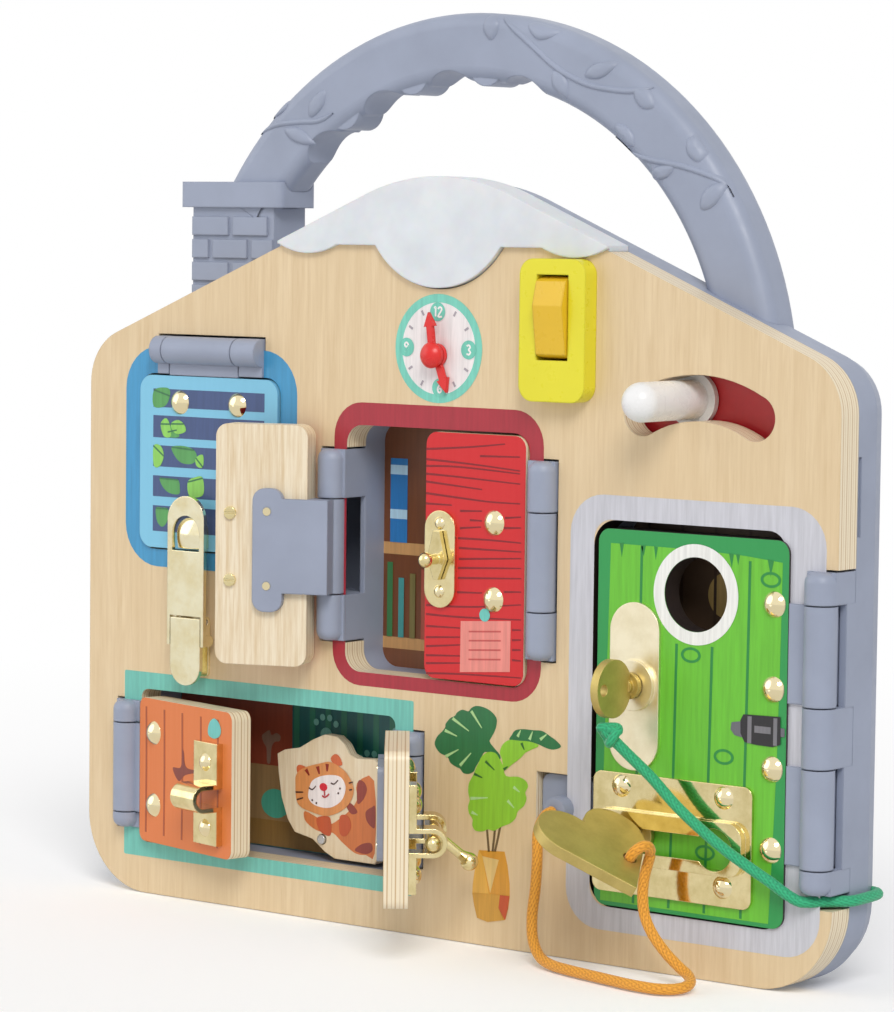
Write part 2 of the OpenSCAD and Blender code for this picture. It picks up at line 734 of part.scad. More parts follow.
module mid_rivet_holes(s) for (z = mid_rivet_z) rod_y(s * 22.8, z, shank_r, -4, panel_t + 1);

module mid_rivets(s) for (z = mid_rivet_z) rivet(s * 22.8, z, leaf_y, 9.9);

module shutter_pose() at_face() swing(-mid_hinge_x, -shutter_open) children();

module left_shutter() color([0.85, 0.75, 0.55]) shutter_pose() difference() {
    slab(leaf_y, leaf_t) rrect(left_leaf, 4);
    mid_rivet_holes(-1);
    for (z = strike_z) rod_y(strike_x, z, 0.9, -3, panel_t);
}

module left_shutter_hinge() color(grey) shutter_pose() mid_leaf_hinge(-1);

module left_shutter_rivets() color(steel) shutter_pose() mid_rivets(-1);

strike_x = -9.8;
strike_z = [108.5, 129.8];

module left_shutter_strike() color(brass) shutter_pose() difference() {
    slab(leaf_y - brass_t, brass_t) rrect([strike_x - 4.6, 103.8, strike_x + 4.6, 134.6], 4.5);
    for (z = strike_z) rod_y(strike_x, z, 0.9, -3, panel_t);
}

module left_shutter_screws() color(brass) shutter_pose() for (z = strike_z) {
    rod_y(strike_x, z, 0.9, leaf_y - brass_t, leaf_back);
    difference() {
        rod_y(strike_x, z, 2, leaf_back, leaf_back + 0.9);
        box_of([strike_x - 3, z - 0.3, strike_x + 3, z + 0.3], leaf_back + 0.5, leaf_back + 2);
    }
}

knob_at = [2.9, 118.6];
knob_rivets = [[2.9, 108.5], [2.9, 129.6]];

module right_shutter() color([0.84, 0.18, 0.18]) at_face() difference() {
    slab(leaf_y, leaf_t) rrect(right_leaf, 4);
    mid_rivet_holes(1);
    knob_plate_holes();
    rod_y(knob_at[0], knob_at[1], 1.6, -3, 5);
}

module knob_plate_holes() for (r = knob_rivets) rod_y(r[0], r[1], shank_r, -5, panel_t + 1);

module right_shutter_hinge() color(grey) at_face() mid_leaf_hinge(1);

module right_shutter_rivets() color(steel) at_face() {
    mid_rivets(1);
    for (r = knob_rivets) rivet(r[0], r[1], leaf_y - brass_t, leaf_t + brass_t, 2, 1.2);
}

module knob_plate() color(brass) at_face() difference() {
    slab(leaf_y - brass_t, brass_t) rrect([knob_at[0] - 5.8, 103.5, knob_at[0] + 5.8, 133.5], 5.7);
    knob_plate_holes();
    rod_y(knob_at[0], knob_at[1], 1.6, -3, 5);
}

module turn_knob() color(brass) at_face() {
    slab(-4.1, 1.6) translate(knob_at)
        polygon([[-3.4, 0], [-0.8, -6.4], [0.8, -6.4], [3.4, 0], [1.2, 8.7], [-1.2, 8.7]]);
    rod_y(knob_at[0], knob_at[1], 3.2, -4.1, -2.5);
    rod_y(knob_at[0], knob_at[1], 1.6, -8, -4);
    rod_y(knob_at[0], knob_at[1], 1.3, -3, 4.5);
    translate([knob_at[0], -9, knob_at[1]]) sphere(2.4);
}

// ---- den doors with their bolt ----

bolt_z = 37.5;
bolt_y = -proud - 7.2;
bolt_pose_l = [41.5, 54];
bolt_pose_r = [[19.6, 27], [46.6, 54.2]];
den_rivet_z = [30.4, 54.2];

module den_left_pose() at_face() swing(den_hinge_l, -den_left_open) children();

module den_right_pose() at_face() swing(den_hinge_r, den_right_open) children();

module den_rivet_holes(x) for (z = den_rivet_z) rod_y(x, z, shank_r, -4, panel_t + 1);

// a bolt's strap: two plates on the leaf with an arch over the rod; x0 to x1 along the bolt
module strap(x0, x1) difference() {
    translate([x0, 0, 0]) rotate([90, 0, 90]) linear_extrude(x1 - x0) difference() {
        union() {
            translate([leaf_y - 2.4, 22]) square([2.4, 33]);
            translate([bolt_y, bolt_z]) circle(4.4);
            translate([bolt_y, bolt_z - 4.4]) square([leaf_y - bolt_y, 8.8]);
        }
        translate([bolt_y, bolt_z]) circle(2.9);
        translate([bolt_y, bolt_z - 2.9]) square([leaf_y - bolt_y + 1, 5.8]);
    }
    for (z = strap_rivet_z) rod_y((x0 + x1) / 2, z, shank_r, -6, panel_t);
}

strap_rivet_z = [27.4, 48.6];

module strap_rivets(x0, x1) for (z = strap_rivet_z)
    rivet((x0 + x1) / 2, z, leaf_y - 2.4, 8, 2.9, 1.6);

module strap_holes(x0, x1) for (z = strap_rivet_z) rod_y((x0 + x1) / 2, z, shank_r, -4, panel_t);

module den_hinge_part(x, s) difference() {
    leaf_hinge(x, x + s * 7.5, x + s * 26, den_knuckle[0], den_knuckle[1], barrel_r);
    hinge_bore(x, 20, 65);
    den_rivet_holes(x + s * 15.5);
}

module den_left_door() color([0.88, 0.42, 0.15]) den_left_pose() difference() {
    slab(leaf_y, leaf_t) rrect(den_left_leaf, 3);
    den_rivet_holes(den_hinge_l + 15.5);
    strap_holes(den_hinge_l + bolt_pose_l[0], den_hinge_l + bolt_pose_l[1]);
}

module den_left_hinge() color(grey) den_left_pose() den_hinge_part(den_hinge_l, 1);

module den_left_rivets() color(steel) den_left_pose() {
    for (z = den_rivet_z) rivet(den_hinge_l + 15.5, z, leaf_y, 9.9);
    strap_rivets(den_hinge_l + bolt_pose_l[0], den_hinge_l + bolt_pose_l[1]);
}

module bolt_keeper() color(brass) den_left_pose()
    strap(den_hinge_l + bolt_pose_l[0], den_hinge_l + bolt_pose_l[1]);

module den_right_door() color([0.93, 0.91, 0.84]) den_right_pose() difference() {
    slab(leaf_y, leaf_t) rrect(den_right_leaf, 3);
    den_rivet_holes(den_hinge_r - 15.5);
    for (b = bolt_pose_r) strap_holes(den_hinge_r - b[1], den_hinge_r - b[0]);
}

module den_right_hinge() color(grey) den_right_pose() den_hinge_part(den_hinge_r, -1);

module den_right_rivets() color(steel) den_right_pose() {
    for (z = den_rivet_z) rivet(den_hinge_r - 15.5, z, leaf_y, 9.9);
    for (b = bolt_pose_r) strap_rivets(den_hinge_r - b[1], den_hinge_r - b[0]);
}

module bolt_straps() color(brass) den_right_pose()
    for (b = bolt_pose_r) strap(den_hinge_r - b[1], den_hinge_r - b[0]);

module bolt_rod() color(brass) den_right_pose() {
    x0 = den_hinge_r - 54.6;
    translate([x0, bolt_y, bolt_z]) rotate([0, 90, 0]) cylinder(r = 2.3, h = 42.6);
    translate([x0, bolt_y, bolt_z]) sphere(2.3);
    translate([den_hinge_r - 30.5, bolt_y, bolt_z]) rotate([129, 0, 0]) {
        cylinder(r = 1.5, h = 14);
        translate([0, 0, 11]) cylinder(r1 = 1.5, r2 = 2.8, h = 3.6);
        translate([0, 0, 14.6]) sphere(2.8);
    }
}

cat_outline = [[-71, 48.5], [-68, 50.1], [-61.7, 51.3], [-56.3, 54.4], [-51.4, 56.5], [-46.4, 56.3],
    [-43.1, 54.1], [-41, 51], [-38.2, 50], [-30.8, 50.4], [-26, 46], [-24.4, 38], [-25, 26],
    [-30.4, 16.9], [-46.8, 16.9], [-50.9, 18.7], [-56, 22.3], [-63.5, 23.8], [-66.5, 27.7],
    [-69.1, 34.6], [-70.5, 42.7]];

module cat() color([0.9, 0.75, 0.5]) at_face() difference() {
    slab(9.3, 3.6) translate([0, 1.4]) polygon(cat_outline);
    rod_y(cat_at[0], cat_at[1], 1.7, 8, 14);
}

// ---- front door with its lock and chain plate ----

door_rivets = [for (z = [41.2, 64.9, 88.2, 112.9]) [right_x - 20.8, z]];
hasp_rivets = [for (x = [72.3, 108.7]) for (z = [28.7, 55.1]) [x, z]];
peep_at = [right_x - 48, 113.9];

module door_rivet_holes() for (r = door_rivets) rod_y(r[0], r[1], shank_r, -4, panel_t + 1);

module front_door() color([0.3, 0.65, 0.25]) at_face() difference() {
    slab(leaf_y, leaf_t) difference() {
        rrect(door_leaf, 4);
        translate(peep_at) circle(11);
        translate(lock_at) circle(2.8);
    }
    door_rivet_holes();
    for (r = hasp_rivets) rod_y(r[0], r[1], shank_r, -4, panel_t);
}

module front_door_hinge() color(grey) at_face() difference() {
    for (k = [concat(door_knuckle_a, [78, 119]), concat(door_knuckle_b, [33.5, 72])]) {
        leaf_hinge(door_hinge_x, door_leaf[2], door_leaf[2] - 16, k[0], k[1], door_barrel_r);
        slab(plate_y, hinge_t) rrect([door_leaf[2] - 16, k[2], door_leaf[2] - 1.5, k[3]], 4);
    }
    hinge_bore(door_hinge_x, 30, 130);
    door_rivet_holes();
}

module front_door_rivets() color(steel) at_face() {
    for (r = door_rivets) rivet(r[0], r[1], leaf_y, 9.9);
    for (r = hasp_rivets) rivet(r[0], r[1], leaf_y - brass_t, leaf_t + brass_t, 3.4, 1.9);
}

module lock_plate() color(brass) at_face() difference() {
    union() {
        slab(leaf_y - brass_t, brass_t) rrect([lock_at[0] - 8.8, 60.1, lock_at[0] + 8.8, 110.3], 8.7);
        rod_y(lock_at[0], lock_at[1], 7.6, leaf_y - 2.6, leaf_y - brass_t);
    }
    rod_y(lock_at[0], lock_at[1], 2.6, -5, 1);
}

module key() color(brass) at_face() {
    translate([lock_at[0] - 1.3, -14, lock_at[1]]) rotate([0, 90, 0]) difference() {
        cylinder(r = 8.7, h = 2.6);
        translate([0, -5.4, -1]) cylinder(r = 1.8, h = 5);
    }
    rod_y(lock_at[0], lock_at[1], 2.2, -7, 12);
    rod_y(lock_at[0], lock_at[1], 4, -5.6, -3.9);
    slab(10.2, 1.6) translate([lock_at[0] - 2.6, lock_at[1] - 19.4]) square([5.2, 22]);
}

slot = [69, 36, 107, 43.3];

module slot_shape() {
    rrect(slot, 3.6);
    translate([slot[2], 39.8]) circle(6.3);
}

module hasp_plate() color(brass) at_face() difference() {
    union() {
        slab(leaf_y - brass_t, brass_t) rrect(hasp, 3);
        slab(leaf_y - 3.6, 3.6) rrect([hasp[0] + 1.2, 32.2, hasp[2] - 2, 48.2], 5);
    }
    slab(leaf_y - 2.4, 3) rrect([hasp[0] + 2.6, 33.6, hasp[2] - 3.4, 46.8], 3.6);
    slab(leaf_y - 4, 3) slot_shape();
    for (r = hasp_rivets) rod_y(r[0], r[1], shank_r, -6, panel_t);
}

heart_at = [76, -23.6, 43];
heart_turn = [-56, 6, 82];

module heart_pose() translate(heart_at) rotate([0, 0, heart_turn[2]]) rotate([heart_turn[0], 0, 0])
    rotate([0, heart_turn[1], 0]) children();

module heart() color(brass) at_face() {
    difference() {
        heart_pose() slab(-1.75, 3.5) {
            for (s = [-1, 1]) translate([s * 9, 0]) circle(9.8);
            polygon([[-16.6, -6.2], [-9, 0], [0, 3.4], [9, 0], [16.6, -6.2], [0, -24.8]]);
        }
        heart_pose() rod_y(6.5, -12.1, 2.2, -3, -0.5);
    }
    rod_y(79.4, 41.2, 1.7, -9, -3);
    rod_y(79.4, 41.2, 4.6, -3.2, -1.5);
}

// ---- cords ----

// cord routes as points [x, depth behind the panel's front face, z]
orange_route = [[49.5, -5.1, 45.5], [49.5, -8.4, 44.8], [49.5, -11.2, 42.7], [49.5, -12.6, 40],
    [49.5, -13, 37.6], [49.2, -12.6, 31], [48.2, -12, 22.5], [47.4, -12.3, 14.5], [48.8, -13.8, 7.8],
    [53, -16.2, 3.4], [59, -18.8, 1.9], [67, -21.6, 1.8], [76, -23.8, 1.8], [86, -26, 1.8],
    [94, -27.6, 1.8], [101.3, -28, 1.8], [105, -27, 1.8], [107.8, -24.2, 1.8], [108.8, -20.5, 2.1],
    [107.8, -16.8, 2.8], [105, -14, 4], [101.3, -13, 5.7], [96.4, -12.8, 9.2], [91.8, -12.9, 14],
    [88.8, -12.9, 19.2], [87.7, -12.6, 24.8], [88, -12.4, 30.4], [89.3, -12.5, 34.8], [90.8, -13.2, 38.2],
    [91.5, -15.6, 40.4], [91.1, -18.4, 40.8], [89.3, -20.1, 39], [87.5, -20, 36.3]];
green_route = [[75.6, -16.5, 74], [77.6, -15.4, 71.4], [82, -12.5, 66.2], [88, -9.6, 60], [96, -7.8, 52],
    [104.5, -7.2, 45.8], [113, -6.8, 40.5], [121, -5.8, 36], [127, -5.1, 32.8], [132, -4.3, 29.8],
    [135.5, -3.2, 28], [138, -1.9, 27.8]];
green_side_route = [[140, -1, 27.8], [140.8, 1.8, 27.8], [143.6, 4.8, 27.8], [146.6, 8.6, 27.8],
    [147.1, 14, 27.9], [147.1, 19.5, 28], [146.4, 22.8, 28], [144.2, 24.4, 28], [140.6, 24.5, 28]];
cord_sides = 8;

function unit(v) = v / norm(v);

// points of a smooth curve through p, k to each stretch
function curve(p, k) = [for (i = [0:len(p) - 2]) for (j = [0:k - 1])
    let (a = p[max(i - 1, 0)], b = p[i], c = p[i + 1], d = p[min(i + 2, len(p) - 1)], t = j / k)
    (2 * b + (c - a) * t + (2 * a - 5 * b + 4 * c - d) * t * t + (3 * b - a - 3 * c + d) * t * t * t) / 2,
    p[len(p) - 1]];

function along(p) = [for (i = [0:len(p) - 1]) unit(p[min(i + 1, len(p) - 1)] - p[max(i - 1, 0)])];

function across_of(t, n) = unit(n - t * (n * t));

// a tube of radius r along p; the first rings, up to knot, are wider
module tube(p, r, knot = 0) {
    t = along(p);
    n = [for (i = 0, v = across_of(t[0], [0.6, 0.1, 1]); i < len(p); i = i + 1,
        v = i < len(p) ? across_of(t[i], v) : v) v];
    rings = [for (i = [0:len(p) - 1]) for (j = [0:cord_sides - 1])
        let (w = i < knot ? 1.6 : 1, a = 360 * j / cord_sides)
        p[i] + w * r * (cos(a) * n[i] + sin(a) * cross(t[i], n[i]))];
    m = cord_sides;
    last = (len(p) - 1) * m;
    sides = [for (i = [0:len(p) - 2]) for (j = [0:m - 1])
        let (a = i * m + j, b = i * m + (j + 1) % m) each [[a, a + m, b + m], [a, b + m, b]]];
    polyhedron(concat(rings), concat(sides, [[for (j = [0:m - 1]) j]],
        [[for (j = [m - 1:-1:0]) last + j]]), convexity = 6);
}

module orange_cord() color([0.95, 0.6, 0.15]) at_face() tube(curve(orange_route, 2), cord_d / 2);

module green_cord_door() color([0.1, 0.6, 0.35]) at_face() tube(curve(green_route, 2), cord_d / 2, 4);

module green_cord_side() color([0.1, 0.6, 0.35]) at_face() tube(curve(green_side_route, 2), cord_d / 2);

housing();
handle();
panel();
steel_pins();
case_screws();
battery_cells();
battery_door();
lamp_cap();
lamp_board();
lamp_leds();
switch_bezel();
lamp_switch();
lamp_rocker();
garden_card();
shelf_card();
den_card();
porch_card();
slide_card();
slide_peg();
clock_long_hand();
clock_short_hand();
blue_window();
blue_window_hinge();
blue_window_rivets();
window_keeper();
latch_base();
latch_bail();
latch_lever();
left_shutter();
left_shutter_hinge();
left_shutter_rivets();
left_shutter_strike();
left_shutter_screws();
right_shutter();
right_shutter_hinge();
right_shutter_rivets();
knob_plate();
turn_knob();
den_left_door();
den_left_hinge();
den_left_rivets();
bolt_keeper();
den_right_door();
den_right_hinge();
den_right_rivets();
bolt_straps();
bolt_rod();
cat();
front_door();
front_door_hinge();
front_door_rivets();
lock_plate();
key();
hasp_plate();
heart();
orange_cord();
green_cord_door();
green_cord_side();
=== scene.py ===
import math

import bmesh
import bpy
from mathutils import Matrix, Vector
from mathutils.geometry import tessellate_polygon


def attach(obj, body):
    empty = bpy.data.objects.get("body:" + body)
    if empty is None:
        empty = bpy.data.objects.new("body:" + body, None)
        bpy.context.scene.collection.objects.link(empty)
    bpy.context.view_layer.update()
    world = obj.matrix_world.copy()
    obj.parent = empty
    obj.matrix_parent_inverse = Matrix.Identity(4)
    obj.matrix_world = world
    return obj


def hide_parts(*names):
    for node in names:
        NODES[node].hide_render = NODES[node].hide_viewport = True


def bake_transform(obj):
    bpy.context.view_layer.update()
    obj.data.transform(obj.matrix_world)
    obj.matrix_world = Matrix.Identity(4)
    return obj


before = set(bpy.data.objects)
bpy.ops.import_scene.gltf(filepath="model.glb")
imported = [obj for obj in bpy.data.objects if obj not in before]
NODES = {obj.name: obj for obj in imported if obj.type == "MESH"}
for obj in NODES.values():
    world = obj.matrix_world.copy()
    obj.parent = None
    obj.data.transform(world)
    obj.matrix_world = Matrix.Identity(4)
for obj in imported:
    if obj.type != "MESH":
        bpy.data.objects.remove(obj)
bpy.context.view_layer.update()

# ---- frame: drawings are in millimetres, y counts back from the plywood's front face ----

FACE = -15.0
PROUD = 1.0
# hinge axis and angle at rest of the leaves that stand open
HINGE = {"shutter_left": (-41.0, -160.0), "den_door_left": (-127.3, -13.4), "den_door_right": (-8.9, 128.0)}


def turned(body, x, y):
    """A point of a closed leaf, where it is at rest."""
    if body in HINGE:
        ax, deg = HINGE[body]
        c, s = math.cos(math.radians(deg)), math.sin(math.radians(deg))
        dx, dy = x - ax, y + PROUD
        x, y = ax + dx * c - dy * s, dx * s + dy * c - PROUD
    return x, y


def at(x, y, z, body=None):
    x, y = turned(body, x, y)
    return Vector((x, y + FACE, z)) / 1000


# ---- camera ----

def make_camera():
    yaw, pitch, roll = (math.radians(a) for a in (38.317, 4.372, 0.595))
    d = Vector((-math.sin(yaw) * math.cos(pitch), math.cos(yaw) * math.cos(pitch), -math.sin(pitch)))
    r = Vector((math.cos(yaw), math.sin(yaw), 0))
    u = r.cross(d)
    right = math.cos(roll) * r + math.sin(roll) * u
    up = math.cos(roll) * u - math.sin(roll) * r
    data = bpy.data.cameras.new("camera")
    cam = bpy.data.objects.new("camera", data)
    bpy.context.scene.collection.objects.link(cam)
    cam.matrix_world = Matrix((
        (right.x, up.x, -d.x, 0.72268),
        (right.y, up.y, -d.y, -0.95462),
        (right.z, up.z, -d.z, 0.22392),
        (0, 0, 0, 1),
    ))
    data.sensor_fit = "HORIZONTAL"
    data.sensor_width = 36
    data.lens = 3852.02 * 36 / 894
    data.shift_x = (447 - 386.34) / 894
    data.shift_y = (509.74 - 506) / 894
    data.clip_start, data.clip_end = 0.05, 50
    bpy.context.scene.camera = cam


make_camera()

# ---- materials ----


def rgb(r, g, b):
    """A colour as seen on screen, 0 to 255, as linear light."""
    lin = [(c / 255 / 12.92 if c / 255 <= 0.04045 else ((c / 255 + 0.055) / 1.055) ** 2.4) for c in (r, g, b)]
    return (*lin, 1)


class Mat:
    """A node material; sockets are set by name, with _ for a space."""

    def __init__(self, name):
        self.m = bpy.data.materials.new(name)
        self.m.use_nodes = True
        self.t = self.m.node_tree
        self.b = self.t.nodes["Principled BSDF"]

    def put(self, socket, value):
        if isinstance(value, bpy.types.NodeSocket):
            self.t.links.new(value, socket)
        elif value is not None:
            socket.default_value = value

    def node(self, kind, props=None, out=0, **inputs):
        n = self.t.nodes.new("ShaderNode" + kind)
        for k, v in (props or {}).items():
            setattr(n, k, v)
        for k, v in inputs.items():
            key = int(k[1:]) if k[0] == "i" and k[1:].isdigit() else k.replace("_", " ")
            self.put(n.inputs[key], v)
        return n.outputs[out]

    def set(self, **inputs):
        for k, v in inputs.items():
            self.put(self.b.inputs[k.replace("_", " ")], v)
        return self

    def math(self, op, a, b=0.0, c=0.0, clamp=False):
        return self.node("Math", {"operation": op, "use_clamp": clamp}, i0=a, i1=b, i2=c)

    def mix(self, fac, a, b):
        n = self.t.nodes.new("ShaderNodeMix")
        n.data_type = "RGBA"
        for k, v in ((0, fac), (6, a), (7, b)):
            self.put(n.inputs[k], v)
        return n.outputs[2]

    def coords(self, body=None):
        """Millimetres in the closed pose of a leaf, as a vector."""
        v = self.node("TexCoord", out=3)
        v = self.node("VectorMath", {"operation": "SCALE"}, i0=v, Scale=1000.0)
        if body in HINGE:
            ax, deg = HINGE[body]
            v = self.node("VectorRotate", {"rotation_type": "Z_AXIS"}, Vector=v,
                          Center=(ax, FACE - PROUD, 0), Angle=-math.radians(deg))
        return v

    def facing(self, body=None):
        """The normal in the closed pose of a leaf."""
        n = self.node("NewGeometry", out=3)
        n = self.node("VectorTransform", {"vector_type": "NORMAL", "convert_from": "WORLD",
                                          "convert_to": "OBJECT"}, Vector=n)
        if body in HINGE:
            n = self.node("VectorRotate", {"rotation_type": "Z_AXIS"}, Vector=n,
                          Angle=-math.radians(HINGE[body][1]))
        return n

    def parts(self, v):
        n = self.t.nodes.new("ShaderNodeSeparateXYZ")
        self.put(n.inputs[0], v)
        return n.outputs[0], n.outputs[1], n.outputs[2]

    def noise(self, v, scale, detail=3.0, rough=0.55, stretch=None):
        if stretch:
            v = self.node("VectorMath", {"operation": "MULTIPLY"}, i0=v, i1=stretch)
        return self.node("TexNoise", Vector=v, Scale=scale, Detail=detail, Roughness=rough)

    def ramp(self, fac, stops):
        n = self.t.nodes.new("ShaderNodeValToRGB")
        e = n.color_ramp.elements
        while len(e) < len(stops):
            e.new(0.5)
        for k, (pos, col) in enumerate(stops):
            e[k].position = pos
            e[k].color = col if hasattr(col, "__len__") else (col, col, col, 1)
        self.put(n.inputs[0], fac)
        return n.outputs[0]

    def span(self, v, a, b, c=0.0, d=1.0):
        """v from a..b onto c..d, clamped."""
        return self.node("MapRange", {"clamp": True}, Value=v, From_Min=a, From_Max=b, To_Min=c, To_Max=d)

    def relief(self, height, strength, distance, edge=None):
        """Bump, over rounded edges where edge is their radius in metres."""
        normal = self.node("Bevel", {"samples": 4}, Radius=edge) if edge else None
        out = self.node("Bump", Strength=strength, Distance=distance, Height=height, Normal=normal)
        self.put(self.b.inputs["Normal"], out)
        return self


def plastic(name, col, rough=0.42, grain=0.05, edge=0.0007, vary=0.06):
    """Moulded plastic: spark-eroded skin, faint cloudiness, rubbed edges."""
    m = Mat(name)
    v = m.coords()
    cloud = m.noise(v, 0.045, 4.0)
    dark = tuple(c * (1 - vary) for c in col[:3]) + (1,)
    light = tuple(min(1, c * (1 + vary)) for c in col[:3]) + (1,)
    m.set(Base_Color=m.ramp(cloud, [(0.3, dark), (0.7, light)]), IOR=1.5)
    skin = m.noise(v, 2.2, 2.0, 0.6)
    m.set(Roughness=m.span(m.noise(v, 0.3, 5.0), 0.3, 0.7, rough - 0.05, rough + 0.06))
    return m.relief(skin, 0.35, grain / 1000, edge).m


def metal(name, col, rough, streak=None, edge=0.0004, dull=None):
    """Plated metal: fine scratches and handling marks; dull is the colour of its dimmer patches."""
    m = Mat(name)
    v = m.coords()
    marks = m.noise(v, 0.16, 6.0, 0.62)
    m.set(Metallic=1.0, Base_Color=m.ramp(marks, [(0.32, dull or col), (0.62, col)]))
    fine = m.noise(v, 1.2, 4.0, 0.7, stretch=streak)
    m.set(Roughness=m.span(fine, 0.3, 0.75, max(0.02, rough - 0.05), rough + 0.07))
    return m.relief(fine, 0.18, 0.00002, edge).m


def ply_edge(m, y, front, thick, plies):
    """The plies seen on an edge, by the depth behind the face."""
    pale, brown = rgb(236, 222, 194), rgb(198, 166, 124)
    t = m.span(m.math("ADD", y, -front), 0, thick)
    stripe = m.math("FRACT", m.math("MULTIPLY", t, plies / 2))
    return m.ramp(stripe, [(0.0, pale), (0.40, pale), (0.47, brown), (0.55, brown), (0.62, pale), (0.90, pale),
                           (0.97, brown)])


def wood(name, body=None, front=0.0, thick=9.5, plies=6, pale=(236, 222, 196), deep=(214, 190, 152),
         paint=None, rim=None, burnt_and_gap_shade=None):
    """Birch plywood: figured face, layered edge, and paint on the face where it has some. rim is the colour
    of painted edges, and burnt_and_gap_shade the x, z corners of a region whose sawn edges are darkened almost to
    black: their laser burn, deepened with painted shade of the gap there."""
    m = Mat(name)
    v = m.coords(body)
    x, y, z = m.parts(v)
    nx, ny, nz = m.parts(m.facing(body))
    fine = m.noise(v, 0.9, 5.0, 0.65, stretch=(1.0, 1.0, 0.05))
    soft = m.noise(v, 0.05, 3.0, 0.5, stretch=(1.0, 1.0, 0.5))
    flame = m.node("TexWave", {"wave_type": "BANDS", "bands_direction": "X"}, Vector=v,
                   Scale=0.035, Distortion=9.0, Detail=3.0, Detail_Scale=0.35, Detail_Roughness=0.6)
    face = m.ramp(fine, [(0.30, rgb(*deep)), (0.62, rgb(*pale))])
    warm = tuple(int(a * 0.35 + b * 0.65) for a, b in zip(pale, deep))
    face = m.mix(m.span(soft, 0.35, 0.7, 0.0, 0.6), face, rgb(*warm))
    face = m.mix(m.span(flame, 0.2, 1.0, 0.0, 0.22), face, rgb(*deep))
    if paint:
        base = rgb(*paint)
        face = m.mix(m.span(fine, 0.25, 0.75, 0.0, 0.16), base, tuple(c * 0.82 for c in base[:3]) + (1,))
    back = m.ramp(fine, [(0.30, rgb(*deep)), (0.62, rgb(*pale))])
    face = m.mix(m.math("GREATER_THAN", ny, 0.0), face, back)
    side = rgb(*rim) if rim else ply_edge(m, y, FACE + front, thick, plies)
    flat = m.span(m.math("ABSOLUTE", ny), 0.55, 0.75)
    col = m.mix(flat, side, face)
    if burnt_and_gap_shade:
        x0, z0, x1, z1 = burnt_and_gap_shade
        near_x, near_z = (
            m.math("LESS_THAN", m.math("ABSOLUTE", m.math("ADD", v, -(a + b) / 2)), (b - a) / 2)
            for v, a, b in ((x, x0, x1), (z, z0, z1)))
        gap_shade_mask = m.math("MULTIPLY", near_x, near_z)
        # painted shade: the sawn walls in this region go almost black, more than their laser burn, to stand for the
        # shade of the deep gap
        col = m.mix(m.math("MULTIPLY", gap_shade_mask, m.math("SUBTRACT", 1.0, flat)), col, rgb(38, 28, 24))
    m.set(Base_Color=col, Roughness=m.span(fine, 0.3, 0.7, 0.39, 0.53), Coat_Weight=0.12, Coat_Roughness=0.25)
    return m.relief(fine, 0.25, 0.00004, 0.0004).m


def ink(name, col, vary=0.07):
    """Printed colour with the wood's grain showing a little through it."""
    m = Mat(name)
    v = m.coords()
    fine = m.noise(v, 0.9, 4.0, 0.6, stretch=(1.0, 1.0, 0.06))
    base = rgb(*col)
    low = tuple(c * (1 - 1.6 * vary) for c in base[:3]) + (1,)
    high = tuple(min(1, c * (1 + vary)) for c in base[:3]) + (1,)
    m.set(Base_Color=m.ramp(fine, [(0.32, low), (0.66, high)]), Roughness=0.42, Coat_Weight=0.08,
          Coat_Roughness=0.3)
    return m.relief(fine, 0.12, 0.00003).m


INKS = {}


def print_in(col):
    """The ink of a colour, made once."""
    key = "ink_%02x%02x%02x" % tuple(col)
    if key not in INKS:
        INKS[key] = ink(key, col)
    return INKS[key]


def cloth_cord(name, dark, light):
    """Braided polyester: its colour follows the relief of the mesh, painted shade darker in the grooves between the
    strands and lighter on their crests, with fuzz.
    """
    m = Mat(name)
    rise = m.node("Attribute", {"attribute_name": "rise"}, out=2)
    v = m.coords()
    fuzz = m.noise(v, 3.0, 3.0, 0.7)
    # painted shade: darker where the strands' relief sinks into the grooves between them, lighter on their crests,
    # with random fuzz
    groove_shade_and_fuzz = m.math("ADD", m.math("MULTIPLY", rise, 0.85), m.math("MULTIPLY", fuzz, 0.25), clamp=True)
    m.set(Base_Color=m.ramp(groove_shade_and_fuzz, [(0.08, rgb(*dark)), (0.75, rgb(*light))]), Roughness=0.72, Sheen_Weight=0.25,
          Sheen_Roughness=0.45)
    return m.relief(fuzz, 0.3, 0.00005).m


GREY = plastic("grey_plastic", rgb(150, 158, 178))
LOOKS = {
    "housing": GREY,
    "handle": GREY,
    # the sawn walls round the front door's opening: burnt edges, darkened further as painted shade of the gap
    "panel": wood("birch_front", thick=9.5, plies=8, pale=(228, 205, 168), deep=(214, 187, 146),
                  burnt_and_gap_shade=(58.5, 16, 134, 135.5)),
    "battery_door": GREY,
    "lamp_board": plastic("board_green", rgb(52, 120, 72), 0.35, 0.01, None),
    "switch_bezel": plastic("yellow_bezel", rgb(228, 219, 44), 0.30, 0.01, 0.0008, 0.03),
    "lamp_rocker": plastic("amber_rocker", rgb(228, 186, 42), 0.30, 0.01, 0.0007, 0.03),
    "lamp_switch": plastic("switch_black", rgb(38, 38, 42), 0.4),
    "slide_peg": plastic("white_peg", rgb(236, 236, 236), 0.28, 0.006, None, 0.015),
}


def dress(node, mat):
    data = NODES[node].data
    data.materials.clear()
    data.materials.append(mat)


